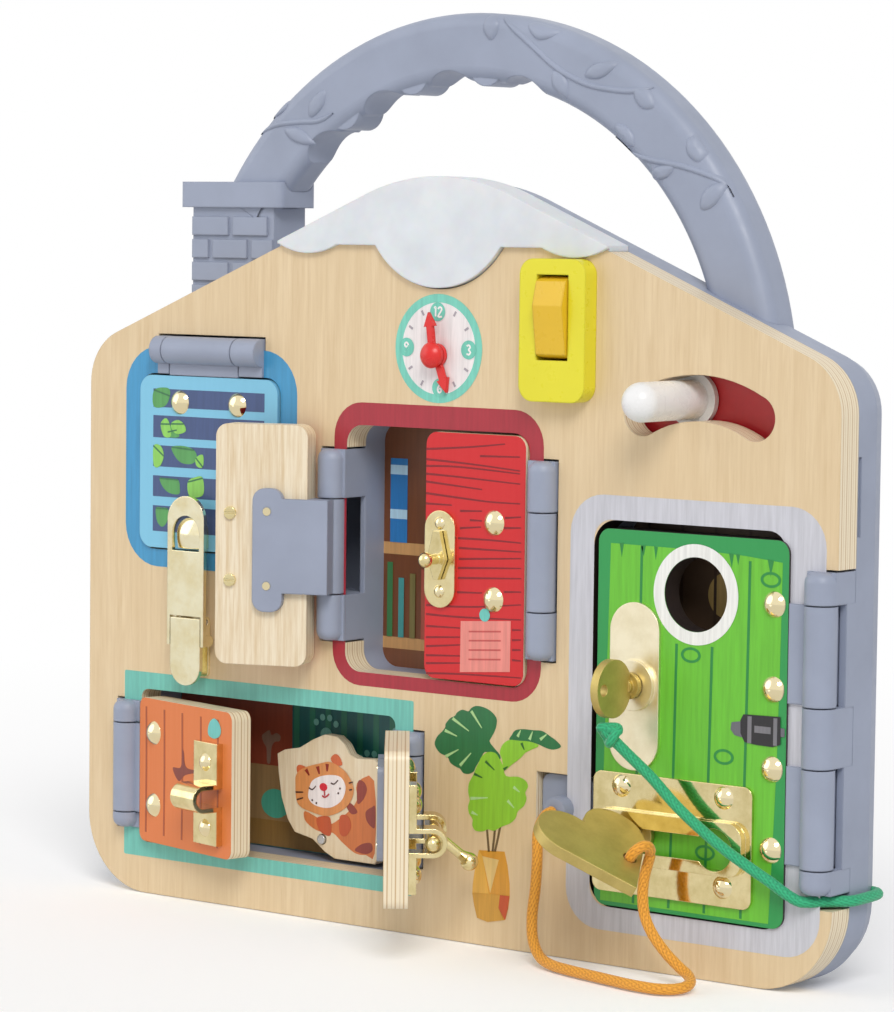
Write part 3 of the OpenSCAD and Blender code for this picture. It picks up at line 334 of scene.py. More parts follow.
STEEL = metal("steel", rgb(200, 200, 202), 0.25)
RIVET = metal("rivet_champagne", rgb(236, 222, 180), 0.07, edge=None)
BRASS = metal("brass_plate", rgb(240, 226, 176), 0.16, (1.0, 1.0, 0.08), dull=rgb(228, 210, 156))
SATIN = metal("brass_satin", rgb(244, 234, 204), 0.36, (1.0, 1.0, 0.05), dull=rgb(232, 220, 186))
HASP = metal("brass_bright", rgb(240, 224, 172), 0.10, dull=rgb(216, 198, 140))
HEART = metal("brass_old_gold", rgb(204, 184, 116), 0.52, dull=rgb(190, 170, 104))
LATCH = metal("brass_latch", rgb(248, 240, 206), 0.13, dull=rgb(236, 222, 176))
LED = plastic("led_white", rgb(245, 240, 220), 0.2, 0.0, None)
for n in ("steel_pins", "case_screws", "battery_cells"):
    LOOKS[n] = STEEL
for n in NODES:
    if n.endswith("_hinge"):
        LOOKS[n] = GREY
    if n.endswith("_rivets"):
        LOOKS[n] = RIVET
LOOKS.update(window_keeper=LATCH, latch_base=LATCH, latch_bail=LATCH, latch_lever=LATCH,
             left_shutter_strike=BRASS, left_shutter_screws=BRASS, knob_plate=BRASS, turn_knob=HASP,
             bolt_keeper=HASP, bolt_straps=HASP, bolt_rod=HASP, lock_plate=SATIN, key=HEART, hasp_plate=HASP,
             heart=HEART, lamp_leds=LED)
RED_HAND = plastic("red_hands", rgb(222, 40, 38), 0.3, 0.006, 0.0004, 0.03)
LOOKS.update(clock_long_hand=RED_HAND, clock_short_hand=RED_HAND)
PLY = dict(front=-1.0, thick=7.5, plies=6)
LOOKS["blue_window"] = wood("blue_leaf", paint=(128, 196, 226), rim=(112, 176, 210), **PLY)
LOOKS["left_shutter"] = wood("left_leaf", "shutter_left", paint=(208, 26, 32), **PLY)
LOOKS["right_shutter"] = wood("right_leaf", paint=(208, 26, 32), **PLY)
LOOKS["den_left_door"] = wood("orange_leaf", "den_door_left", paint=(222, 122, 60), **PLY)
LOOKS["den_right_door"] = wood("white_leaf", "den_door_right", paint=(240, 238, 230), **PLY)
LOOKS["front_door"] = wood("green_leaf", paint=(40, 150, 76), rim=(44, 36, 36), **PLY)
LOOKS["cat"] = wood("cat_leaf", front=9.3, thick=3.6, plies=4)


def paper(name, col):
    m = Mat(name)
    v = m.coords()
    n = m.noise(v, 0.5, 4.0)
    base = rgb(*col)
    m.set(Base_Color=m.ramp(n, [(0.3, tuple(c * 0.93 for c in base[:3]) + (1,)), (0.7, base)]), Roughness=0.38,
          Coat_Weight=0.25, Coat_Roughness=0.2)
    return m.relief(n, 0.05, 0.00002).m


LOOKS["garden_card"] = paper("garden_card", (44, 110, 130))
LOOKS["shelf_card"] = paper("shelf_card", (104, 62, 36))
LOOKS["den_card"] = paper("den_card", (36, 122, 122))
LOOKS["porch_card"] = paper("porch_card", (96, 76, 60))
LOOKS["slide_card"] = paper("slide_card", (196, 38, 44))


def milky():
    m = Mat("lamp_milky")
    v = m.coords()
    n = m.noise(v, 0.08, 3.0)
    m.set(Base_Color=m.ramp(n, [(0.3, rgb(228, 230, 236)), (0.7, rgb(240, 241, 245))]), IOR=1.45,
          Transmission_Weight=0.12, Subsurface_Weight=0.3, Subsurface_Scale=0.004)
    m.set(Roughness=m.span(m.noise(v, 0.4, 4.0), 0.3, 0.7, 0.34, 0.44))
    return m.relief(n, 0.1, 0.00005, 0.0008).m


LOOKS["lamp_cap"] = milky()
for n, look in LOOKS.items():
    dress(n, look)

# ---- cords ----


def smooth(points, k, closed=False):
    """A Catmull-Rom curve through points, k steps to each stretch."""
    n, out = len(points), []
    for i in range(n if closed else n - 1):
        if closed:
            a, b, c, d = (Vector(points[j % n]) for j in (i - 1, i, i + 1, i + 2))
        else:
            a, b, c, d = (Vector(points[j]) for j in (max(i - 1, 0), i, i + 1, min(i + 2, n - 1)))
        for j in range(k):
            t = j / k
            out.append((2 * b + (c - a) * t + (2 * a - 5 * b + 4 * c - d) * t * t
                        + (3 * b - a - 3 * c + d) * t ** 3) / 2)
    return out if closed else out + [Vector(points[-1])]


def even(points, step):
    """The same line with points about step apart."""
    length = [0.0]
    for a, b in zip(points, points[1:]):
        length.append(length[-1] + (b - a).length)
    n = max(2, round(length[-1] / step))
    out, i = [], 0
    for k in range(n + 1):
        s = length[-1] * k / n
        while i < len(points) - 2 and length[i + 1] < s:
            i += 1
        f = (s - length[i]) / max(1e-9, length[i + 1] - length[i])
        out.append(points[i].lerp(points[i + 1], min(1.0, f)))
    return out, length[-1]


def link(name, mesh, mat, body):
    obj = bpy.data.objects.new(name, mesh)
    bpy.context.scene.collection.objects.link(obj)
    mesh.materials.append(mat)
    if body:
        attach(obj, body)
    return obj


def braided(names, line, radius, mat, cut=None, sides=24, strands=5, pitch=5.2):
    """A braided cord as a tube whose surface rises and falls with its strands, one piece for each name, cut at
    that point of the line. line is in millimetres. Gives (object, path, length) for each."""
    line, length = even(line, 0.42)
    verts, rise, along = [], [], []
    t = (line[1] - line[0]).normalized()
    n = (Vector((0.6, 0.1, 1)) - t * t.dot(Vector((0.6, 0.1, 1)))).normalized()
    for i, p in enumerate(line):
        t = (line[min(i + 1, len(line) - 1)] - line[max(i - 1, 0)]).normalized()
        n = (n - t * t.dot(n)).normalized()
        b = t.cross(n)
        s = length * i / (len(line) - 1)
        cap = min(1.0, 0.72 + min(s, length - s) * 0.4)
        for j in range(sides):
            a = 2 * math.pi * j / sides
            h = abs(math.sin(strands * a + 2 * math.pi * s / pitch)
                    * math.sin(strands * a - 2 * math.pi * s / pitch)) ** 0.6
            rise.append(h)
            q = p + (math.cos(a) * n + math.sin(a) * b) * radius * cap * (0.925 + 0.075 * h)
            verts.append(Vector((q.x, q.y + FACE, q.z)) / 1000)
        along.append(Vector((p.x, p.y + FACE, p.z)) / 1000)
    ends = [0, len(line) - 1]
    if cut:
        ends.insert(1, min(range(len(line)), key=lambda i: (line[i] - Vector(cut)).length))
    out = []
    for name, i0, i1 in zip(names, ends, ends[1:]):
        faces = []
        for i in range(i1 - i0):
            for j in range(sides):
                a, c = i * sides + j, i * sides + (j + 1) % sides
                faces.append((a, a + sides, c + sides, c))
        last = (i1 - i0) * sides
        faces += [tuple(range(sides)), tuple(range(last + sides - 1, last - 1, -1))]
        mesh = bpy.data.meshes.new(name)
        mesh.from_pydata(verts[i0 * sides:(i1 + 1) * sides], [], faces)
        mesh.polygons.foreach_set("use_smooth", [True] * len(mesh.polygons))
        for e in mesh.edges:
            e.use_edge_sharp = all(v < sides for v in e.vertices) or all(v >= last for v in e.vertices)
        mesh.attributes.new("rise", "FLOAT", "POINT").data.foreach_set("value", rise[i0 * sides:(i1 + 1) * sides])
        mesh.update()
        out.append((link(name, mesh, mat, None), along[i0:i1 + 1], length * (i1 - i0) / (len(line) - 1) / 1000))
    return out


ORANGE_ROUTE = [(49.5, -5.1, 45.5), (49.5, -8.4, 44.8), (49.5, -11.2, 42.7), (49.5, -12.6, 40),
                (49.5, -13, 37.6), (49.2, -12.6, 31), (48.2, -12, 22.5), (47.4, -12.3, 14.5),
                (48.8, -13.8, 7.8), (53, -16.2, 3.4), (59, -18.8, 1.9), (67, -21.6, 1.8), (76, -23.8, 1.8),
                (86, -26, 1.8), (94, -27.6, 1.8), (101.3, -28, 1.8), (105, -27, 1.8), (107.8, -24.2, 1.8),
                (108.8, -20.5, 2.1), (107.8, -16.8, 2.8), (105, -14, 4), (101.3, -13, 5.7),
                (96.4, -12.8, 9.2), (91.8, -12.9, 14), (88.8, -12.9, 19.2), (87.7, -12.6, 24.8),
                (88, -12.4, 30.4), (89.3, -12.5, 34.8), (90.8, -13.2, 38.2)]
ORANGE_TIE = [(90.8, -13.2, 38.2), (91.5, -15.6, 40.4), (91.1, -18.4, 40.8), (89.3, -20.1, 39),
              (87.5, -20, 36.3)]
GREEN_ROUTE = [(75.6, -16.5, 74), (77.6, -15.4, 71.4), (82, -12.5, 66.2), (88, -9.6, 60), (96, -7.8, 52),
               (104.5, -7.2, 45.8), (113, -6.8, 40.5), (121, -5.8, 36), (127, -5.1, 32.8), (132, -4.3, 29.8),
               (135.5, -3.2, 28), (138, -1.9, 27.8), (140.8, 1.8, 27.8), (143.6, 4.8, 27.8), (146.6, 8.6, 27.8),
               (147.1, 14, 27.9), (147.1, 19.5, 28), (146.4, 22.8, 28), (144.2, 24.4, 28), (140.6, 24.5, 28)]
# each cord's first colour is painted shade for the grooves between its strands, the second the colour of their crests
ORANGE = cloth_cord("orange_braid", (178, 104, 24), (240, 170, 58))
GREEN = cloth_cord("green_braid", (10, 108, 76), (48, 178, 124))

# the orange cord crosses two joints, so it is two pieces that meet end to end at its far loop, and its tie
# through the heart's hole is a third
((tie, _, _),) = braided(["orange_cord_tie"], smooth(ORANGE_TIE, 8), 1.7, ORANGE)
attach(tie, "heart_bolt")
low, rise = braided(("orange_cord_low", "orange_cord_rise"), smooth(ORANGE_ROUTE, 8), 1.7, ORANGE,
                    cut=(108.8, -20.5, 2.1))
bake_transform(low[0])
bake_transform(rise[0])
for piece, path, long in (low, rise):
    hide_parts("orange_cord")

((green, path, long),) = braided(["green_cord_braid"], smooth(GREEN_ROUTE[::-1], 8), 1.7, GREEN)
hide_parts("green_cord_door", "green_cord_side")
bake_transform(green)


def knot():
    """The overhand knot round the key's hole, with its short tail."""
    c = Vector((77.0, -15.6, 72.6))
    loop = [c + Vector((2.6 * math.cos(a), 1.5 * math.sin(2 * a), 2.4 * math.sin(a) + 0.6 * math.cos(2 * a)))
            for a in [math.radians(30 * k) for k in range(13)]]
    return smooth([Vector((75.2, -16.8, 74.6))] + loop + [c + Vector((0.8, -1.6, -3.2))], 6)


((ball, _, _),) = braided(["green_cord_knot"], knot(), 1.45, GREEN, sides=18)
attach(ball, "door")

# ---- flat pieces ----


def ring_of(loops, y, body):
    return [[at(p[0], y, p[1], body) for p in loop] for loop in loops]


def plate(name, shapes, y, mat, body, thick=0.05, lie=None):
    """Flat shapes, each an outline with its holes, from depth y forwards by thick. lie is the body whose
    open pose they take, where it isn't body."""
    verts, faces = [], []
    for loops in shapes:
        tris = tessellate_polygon([[Vector((p[0], p[1], 0)) for p in loop] for loop in loops])
        front, back = ring_of(loops, y - thick, lie or body), ring_of(loops, y, lie or body)
        base, n = len(verts), sum(len(loop) for loop in loops)
        verts += [p for loop in front for p in loop] + [p for loop in back for p in loop]
        faces += [(base + a, base + b, base + c) for a, b, c in tris]
        faces += [(base + n + c, base + n + b, base + n + a) for a, b, c in tris]
        k = base
        for loop in loops:
            m = len(loop)
            for i in range(m):
                j = (i + 1) % m
                faces.append((k + i, k + n + i, k + n + j, k + j))
            k += m
    mesh = bpy.data.meshes.new(name)
    mesh.from_pydata(verts, [], faces)
    mesh.validate()
    bm = bmesh.new()
    bm.from_mesh(mesh)
    bmesh.ops.recalc_face_normals(bm, faces=bm.faces)
    bm.to_mesh(mesh)
    bm.free()
    return link(name, mesh, mat, body)


def rounded(x0, z0, x1, z1, r, n=8):
    out = []
    for cx, cz, a0 in ((x1 - r, z1 - r, 0), (x0 + r, z1 - r, 90), (x0 + r, z0 + r, 180), (x1 - r, z0 + r, 270)):
        for k in range(n + 1):
            a = math.radians(a0 + 90 * k / n)
            out.append((cx + r * math.cos(a), cz + r * math.sin(a)))
    return out


def disc(x, z, r, n=40, squeeze=1.0):
    return [(x + r * math.cos(2 * math.pi * k / n), z + squeeze * r * math.sin(2 * math.pi * k / n))
            for k in range(n)]


def blob(points, k=6):
    """A smooth closed outline through points."""
    return [(p.x, p.y) for p in smooth([Vector((p[0], p[1], 0)) for p in points], k, closed=True)]


def stroke(points, w0, w1=None, k=6):
    """A brushed line through points, from width w0 to w1."""
    w1 = w0 if w1 is None else w1
    line = smooth([Vector((p[0], p[1], 0)) for p in points], k)
    left, right = [], []
    for i, p in enumerate(line):
        t = (line[min(i + 1, len(line) - 1)] - line[max(i - 1, 0)]).normalized()
        w = (w0 + (w1 - w0) * i / (len(line) - 1)) / 2
        left.append((p.x - t.y * w, p.y + t.x * w))
        right.append((p.x + t.y * w, p.y - t.x * w))
    return left + right[::-1]


# frames printed on the plywood
plate("print_blue_frame", [[rounded(-129.2, 108.5, -56.3, 180.5, 14), rounded(-122.8, 114.2, -63, 171.8, 6)]],
      0, print_in((66, 148, 194)), "board")
plate("print_red_frame", [[rounded(-40.9, 76.4, 40.5, 165.5, 11), rounded(-35.8, 80.7, 35.3, 158.4, 6)]],
      0, print_in((166, 40, 54)), "board")
plate("print_den_frame", [[rounded(-129.2, 12, -8.2, 73.3, 0.6, 2), rounded(-121.7, 16.9, -15.3, 67.8, 3)]],
      0, print_in((112, 190, 176)), "board")
plate("print_door_frame", [[rounded(50.9, 10.4, 140.9, 141.5, 12), rounded(59.6, 17.6, 127.4, 134.1, 6)]],
      0, print_in((200, 200, 208)), "board")

# ---- drawings ----


def draw(what, y, body, slot, *layers, lie=None):
    """Printed layers from depth y forwards, one over another: each is a name, a colour and its shapes. A shape
    is an outline, or a list of an outline and its holes."""
    for k, (name, col, shapes) in enumerate(layers):
        loops = [s if isinstance(s[0], list) else [s] for s in shapes]
        plate(f"print_{what}_{name}", loops, y - 0.05 * k, print_in(col), body, lie=lie)


def strokes(lines, w0, w1=None, k=6):
    return [stroke(line, w0, w1, k) for line in lines]


def quad(x0, z0, x1, z1):
    return [(x0, z0), (x1, z0), (x1, z1), (x0, z1)]


def spokes(x, z, r0, r1, hours, w):
    """Straight marks on a dial, by the hour."""
    ends = [(math.sin(math.pi * h / 6), math.cos(math.pi * h / 6)) for h in hours]
    return strokes([[(x + r0 * s, z + r0 * c), (x + r1 * s, z + r1 * c)] for s, c in ends], w, k=1)


DIGITS = {
    "1": [(-0.25, 0.7), (0.1, 1), (0.1, -1)],
    "2": [(-0.5, 0.6), (0, 1), (0.5, 0.5), (-0.5, -1), (0.55, -1)],
    "3": [(-0.5, 0.8), (0.1, 1), (0.45, 0.5), (0, 0.05), (0.5, -0.5), (0.05, -1), (-0.5, -0.8)],
    "6": [(0.35, 1), (-0.4, 0.1), (-0.45, -0.6), (0, -1), (0.45, -0.6), (0.2, -0.1), (-0.4, -0.25)],
    "9": [(-0.35, -1), (0.4, -0.1), (0.45, 0.6), (0, 1), (-0.45, 0.6), (-0.2, 0.1), (0.4, 0.25)],
}


def numeral(text, x, z, h):
    return [stroke([(x + (i - (len(text) - 1) / 2) * 0.62 * h + h / 2 * a, z + h / 2 * b) for a, b in DIGITS[d]],
                   0.2 * h, k=3) for i, d in enumerate(text)]


HOURS = (("12", -0.4, 194.5), ("9", -12.4, 183.3), ("3", 11.7, 183.1), ("6", 0.7, 171.1))
draw("clock", 0, "board", "plywood",
     ("face", (238, 232, 232), [disc(0, 183.2, 14.6, 64)]),
     ("ring", (120, 205, 186), [[disc(0, 183.2, 16.8, 64), disc(0, 183.2, 14.2, 64)]]),
     ("marks", (168, 160, 168), spokes(0, 183.2, 11.6, 13.3, (1, 2, 4, 5, 7, 8, 10, 11), 0.7)),
     ("spots", (112, 200, 180), [disc(x, z, 2.9) for _, x, z in HOURS]),
     ("figures", (244, 240, 238), [s for t, x, z in HOURS for s in numeral(t, x, z, 2.9)]))

LEAVES = [
    [(-116, 166.3), (-110.1, 167.1), (-109.2, 164.6), (-111.4, 161.2), (-116.2, 161)],
    [(-113.1, 155.3), (-110.9, 157.3), (-109.2, 155.4), (-108.7, 151.5), (-111.7, 151.4)],
    [(-110, 152.8), (-108.3, 155.1), (-106.1, 153.6), (-105.2, 151.4), (-110, 151.2)],
    [(-108.7, 155.5), (-105.7, 156.9), (-103.1, 155.7), (-102.2, 153.5), (-104.8, 152.4), (-107.4, 152.9)],
    [(-108.2, 148), (-103, 148.5), (-98.7, 147.4), (-97.4, 144.9), (-99.5, 142.9), (-103.9, 143), (-106.9, 145.1)],
    [(-116.1, 148), (-113, 148.1), (-111.7, 144.9), (-113.4, 141.5), (-116, 141.7)],
    [(-113.4, 137.6), (-109.9, 137.6), (-105.5, 137.4), (-104.7, 134.8), (-105.1, 132.8), (-109, 132.9),
     (-112, 134.7)],
    [(-101.2, 136.9), (-97.8, 138.7), (-94.8, 138.5), (-94.7, 133), (-100.3, 132.4)],
    [(-115, 127.7), (-112.4, 128), (-109.8, 127.7), (-109.6, 124.7), (-111.1, 122.3), (-112.8, 121.8),
     (-114.6, 123.8)],
    [(-97.8, 144.9), (-94.8, 146), (-94.8, 142.1), (-97.4, 142.3)],
]
BANDS = ((160.8, 166.8), (150.9, 158.1), (141.4, 148.3), (131.6, 138.4), (120.2, 128.6))
draw("window", -1, "window", "blue_wood",
     ("gaps", (66, 84, 128), [quad(-116.4, a, -69, b) for a, b in BANDS]),
     ("leaves", (88, 158, 88), [blob(p) for p in LEAVES[::2]]),
     ("leaves_light", (140, 205, 92), [blob(p) for p in LEAVES[1::2]]),
     ("veins", (60, 118, 76), strokes([[p[0], ((p[0][0] + p[2][0]) / 2, (p[0][1] + p[2][1]) / 2), p[2]]
                                       for p in LEAVES], 0.5)))

GRAIN = [
    [(-3.7, 152.1), (13.3, 153.5), (26.6, 155)], [(-3.7, 149), (13.4, 148.3), (32.4, 147.1)],
    [(-3.6, 146.9), (9.6, 147.2), (32.4, 146.2)], [(-3.6, 144.5), (9.6, 144.1), (32.5, 143.1)],
    [(-3.6, 142.1), (5.8, 141.5), (18.1, 140.7)], [(-3.5, 138.5), (9.7, 137.7), (21.2, 137.1), (32.6, 137.1)],
    [(-3.5, 135.3), (6.6, 135.3)], [(17.2, 150.9), (32.3, 151.3)], [(9.8, 133.7), (18.2, 134.1)],
    [(9.8, 128.4), (17.9, 129.2)], [(26.6, 129.4), (33, 129.8)], [(9.1, 125.3), (21.4, 125.4), (33.1, 125.2)],
    [(9.5, 122.3), (21.4, 122.4), (33.2, 122.5)], [(9.6, 118.9), (33.2, 120.5)], [(9.2, 116.1), (33.2, 117.5)],
    [(9.3, 113), (33.3, 114.4)], [(9, 108.6), (18.6, 109)], [(26.9, 109.9), (33.4, 110.3)],
    [(-3, 103.8), (14, 104.4), (33.4, 106.4)], [(-3, 101), (10.2, 101), (33.5, 101.8)], [(-2.9, 97.3), (10.3, 97.6)],
    [(-2.9, 93.8), (10.3, 94.8)], [(-2.8, 91), (10.4, 92.4)], [(-2.8, 88.2), (10.4, 89)], [(-2.8, 85.7), (10.5, 86.8)],
    [(30.2, 98.5), (33.6, 98.7)], [(30.2, 95.4), (33.6, 95.7)], [(30.3, 92.4), (33.6, 92.6)],
    [(30.3, 89.3), (33.7, 89.3)], [(-2.7, 82.6), (10.5, 83.4), (33.8, 84.1)], [(13.6, 131.1), (18.2, 131.1)],
    [(27, 132.5), (33, 133.1)]]
draw("red_right", -1, "shutter_right", "red_wood",
     ("grain", (132, 12, 24), strokes(GRAIN, 0.7, 0.4)),
     ("note", (232, 140, 130), [[(10.6, 99.8), (29.7, 101.2), (29.6, 85.6), (10.5, 84)]]),
     ("note_lines", (196, 84, 80), strokes([[(13.8, z), (26, z + 0.9)] for z in (96.8, 94, 91.1, 88.2)], 0.5, k=1)),
     ("pin", (108, 196, 186), [disc(19.8, 102.3, 2.0)]))
draw("red_left", -1, "shutter_left", "red_wood",
     ("grain", (132, 12, 24), strokes([[(-p[0], p[1]) for p in line if p[0] > 2] for line in GRAIN
                                       if sum(p[0] > 2 for p in line) > 1], 0.7, 0.4)),
     lie="shutter_left")

draw("den_left", -1, "den_door_left", "orange_wood",
     ("planks", (168, 78, 32), strokes([[(x, 62.5), (x + 0.2, 42), (x, 21)] for x in (-116.1, -105.8, -95.7, -85.4,
                                                                                   -76)], 0.9)),
     ("knot", (132, 58, 42), [blob([(-100.8, 44), (-96.3, 44.8), (-95.5, 50.5), (-94.7, 49.9), (-92.9, 44.9),
                                    (-82.4, 45.2), (-93.5, 42.6), (-97.4, 40.1)])]),
     ("pin", (110, 195, 190), [blob([(-77.9, 62.7), (-75.7, 61.8), (-74.3, 59.7), (-74.8, 57.4), (-77.8, 56.2),
                                     (-80.9, 57), (-81.2, 59.3), (-80.1, 61.5)])]), lie="den_door_left")

PEEP = (97, 113.9)
FIELD = [(66.4, 127.3), (80.4, 127.2), (98.1, 127.1), (113.8, 126.4), (126.8, 125.2), (126.6, 102.8), (126, 67.9),
         (124.9, 38.5), (124, 19.6), (64.3, 19.6), (65, 62), (65.8, 98.2)]
PLANKS = [[(77.6, 127), (77.2, 74), (76.3, 20)], [(90.5, 99), (90, 60), (89, 20)],
          [(103, 99), (102.4, 60), (101.6, 20)], [(115.7, 125), (115.2, 74), (114.4, 20)]]
KNOTS = ((122.9, 120), (95.6, 96), (107.7, 67), (101.7, 38))
DRIPS = [[(69.6, 127.5), (71.1, 127.6), (70.4, 123.3)], [(77.2, 127.3), (79, 127.4), (78.3, 124.1)],
         [(81.9, 127.3), (83.3, 127.1), (82.6, 123.2)], [(108.3, 126.9), (110, 126.7), (109.4, 122.6)],
         [(110.7, 126.8), (112.1, 126.6), (111.6, 123.6)], [(121.7, 126), (123.8, 125.6), (122.8, 120.9)]]
draw("door", -1, "door", "green_wood",
     ("field", (104, 190, 48), [[FIELD, disc(*PEEP, 11.05, 56)]]),
     ("planks", (36, 132, 60), strokes(PLANKS, 0.9) + DRIPS),
     ("knots", (38, 138, 62), [[disc(x, z, 3.5, 28, 0.66), disc(x, z, 2.6, 28, 0.6)] for x, z in KNOTS]),
     ("ring", (236, 236, 232), [[disc(*PEEP, 14.9, 64), disc(*PEEP, 11.05, 64)]]),
     ("rod", (104, 104, 112), [[(110.3, 77.5), (113.8, 78.1), (128.6, 77.2), (128.6, 74.8), (113.9, 73.4),
                                (111.4, 73.8), (110, 75.4)]]),
     ("bolt", (34, 32, 36), [[(114.4, 80.2), (127.1, 80.5), (127.3, 72.4), (124.6, 71.5), (119.1, 71.6),
                              (114.9, 72.1), (113.5, 74.6), (113.4, 78.4)]]),
     ("bolt_bands", (120, 118, 124), [quad(115.9, 71.9, 117.3, 79.8), quad(124.8, 72, 126.1, 80),
                                      quad(118.3, 75.2, 123.9, 77.2)]))

draw("plant", 0, "board", "plywood",
     ("stems", (110, 90, 60), strokes([[(20.5, 39.6), (21.1, 34.4), (21.7, 29.3)], [(24.3, 43.7), (23.9, 36.3),
                                       (23.1, 29.5)], [(26.1, 38.4), (25.1, 33.9), (24, 29.6)]], 0.8)),
     ("dark", (40, 112, 65), [
         blob([(14.3, 73.1), (16.1, 73.9), (18.9, 73.8), (21.8, 72.8), (23.9, 71), (24.1, 69.1), (23.4, 66.8),
               (22, 64.5), (21.5, 63.4), (23.1, 61.7), (25.5, 59.6), (25.4, 58.2), (22.6, 59.5), (19.7, 60),
               (18, 57.5), (16.3, 55), (15.5, 53.5), (13.5, 52.6), (11.5, 52.7), (10.3, 53.9), (8.8, 54.3),
               (6.5, 55.4), (5.3, 57.2), (2.3, 58.1), (0.3, 60.5), (1.1, 62.9), (3.1, 64.8), (4.3, 66.2), (4.5, 67.4),
               (6.3, 69.3), (8, 70.1), (8.9, 71.3), (10.9, 72.3), (13.2, 72)], 3),
         blob([(29.1, 64.6), (29.9, 66.2), (31.3, 67.8), (34.4, 68.4), (37.8, 68.4), (41.2, 68.5), (44, 67.3),
               (46.9, 65.8), (48.4, 64.3), (45.8, 63.2), (43, 63.4), (40.2, 64.2), (36.8, 64.8), (32.8, 64.7)], 3)]),
     ("bright", (142, 200, 56), [
         blob([(29.1, 64.6), (32.8, 64.7), (36.8, 64.8), (40.2, 63.9), (37.4, 62.4), (35.1, 61.2), (33.4, 59.5),
               (30.1, 57.1), (27.3, 55.2), (26.4, 58.3), (25.5, 60.5), (26.6, 63)], 3),
         blob([(18.6, 58.5), (20.9, 60.1), (23.7, 60.1), (25.2, 58.7), (26.7, 56.5), (27.9, 53.4), (32.4, 53.6),
               (35.3, 52.7), (36.3, 51), (35.3, 49), (35.8, 47.2), (34.8, 44.8), (32.6, 43), (31.8, 40.8),
               (29.8, 39), (27, 37.8), (25.3, 36.9), (23.5, 36), (21.2, 36.2), (19.5, 35.4), (16.6, 35.3),
               (15.3, 36.8), (15.4, 38.7), (14, 40.4), (13.6, 42.6), (14.2, 44.6), (13.6, 46.8), (13.8, 49.7),
               (15.2, 52.1), (16.4, 54.6), (17.5, 56.5)], 3)]),
     ("slits", (176, 216, 150), strokes([
         [(4.3, 65.3), (9, 63.9)], [(7.2, 69.3), (13.6, 65.9)], [(14.4, 72.2), (18.5, 67.3)], [(4.7, 57.2), (9.6, 59.8)],
         [(10.3, 54.9), (14.5, 59.2)], [(32.2, 65.9), (33.3, 68)], [(36.7, 65.4), (37.8, 68)],
         [(40.7, 65.8), (43.1, 67.6)], [(14.5, 45.1), (21.1, 46)], [(30.9, 50.3), (33.2, 49)],
         [(28.7, 45.9), (31.2, 43.9)], [(15, 40.9), (17.3, 40.2)]], 1.0, 0.3, 2)),
     ("marks", (48, 104, 44), strokes([[(20.1, 57.2), (23.6, 54.8)], [(15.8, 52.9), (19, 52)], [(27.1, 55.3),
                                       (28.6, 56.4)], [(33.7, 64.1), (34.8, 62.1)]], 0.9, 0.3, 2)))
draw("vase", 0, "board", "plywood",
     ("whole", (214, 152, 52), [[(17.9, 29.4), (27.7, 30), (28.9, 25.7), (29.8, 20.2), (29.9, 16.5), (29.3, 12.4),
                                 (28.3, 8.9), (21.7, 7.5), (17.6, 8.3), (16.4, 12.1), (15.6, 15.3), (15.7, 18.6),
                                 (16.3, 22.4)]]),
     ("left", (224, 172, 74), [[(17.9, 29.4), (19.3, 27.7), (21.9, 16.2), (15.6, 15.9), (15.7, 18.6), (16.3, 22.4)]]),
     ("light", (222, 190, 122), [[(19.3, 27.7), (25.6, 27.2), (22.5, 16.6)]]),
     ("low", (204, 152, 58), [[(15.6, 15.9), (22.3, 16.3), (26.3, 16.4), (25.8, 12.3), (27.8, 8.8), (21.7, 7.5),
                               (17.6, 8.3), (16.4, 12.1)]]),
     ("red", (196, 82, 38), [[(26.3, 16.4), (29.9, 16.5), (29.3, 12.4), (28.3, 8.9), (25.8, 12.3)]]))

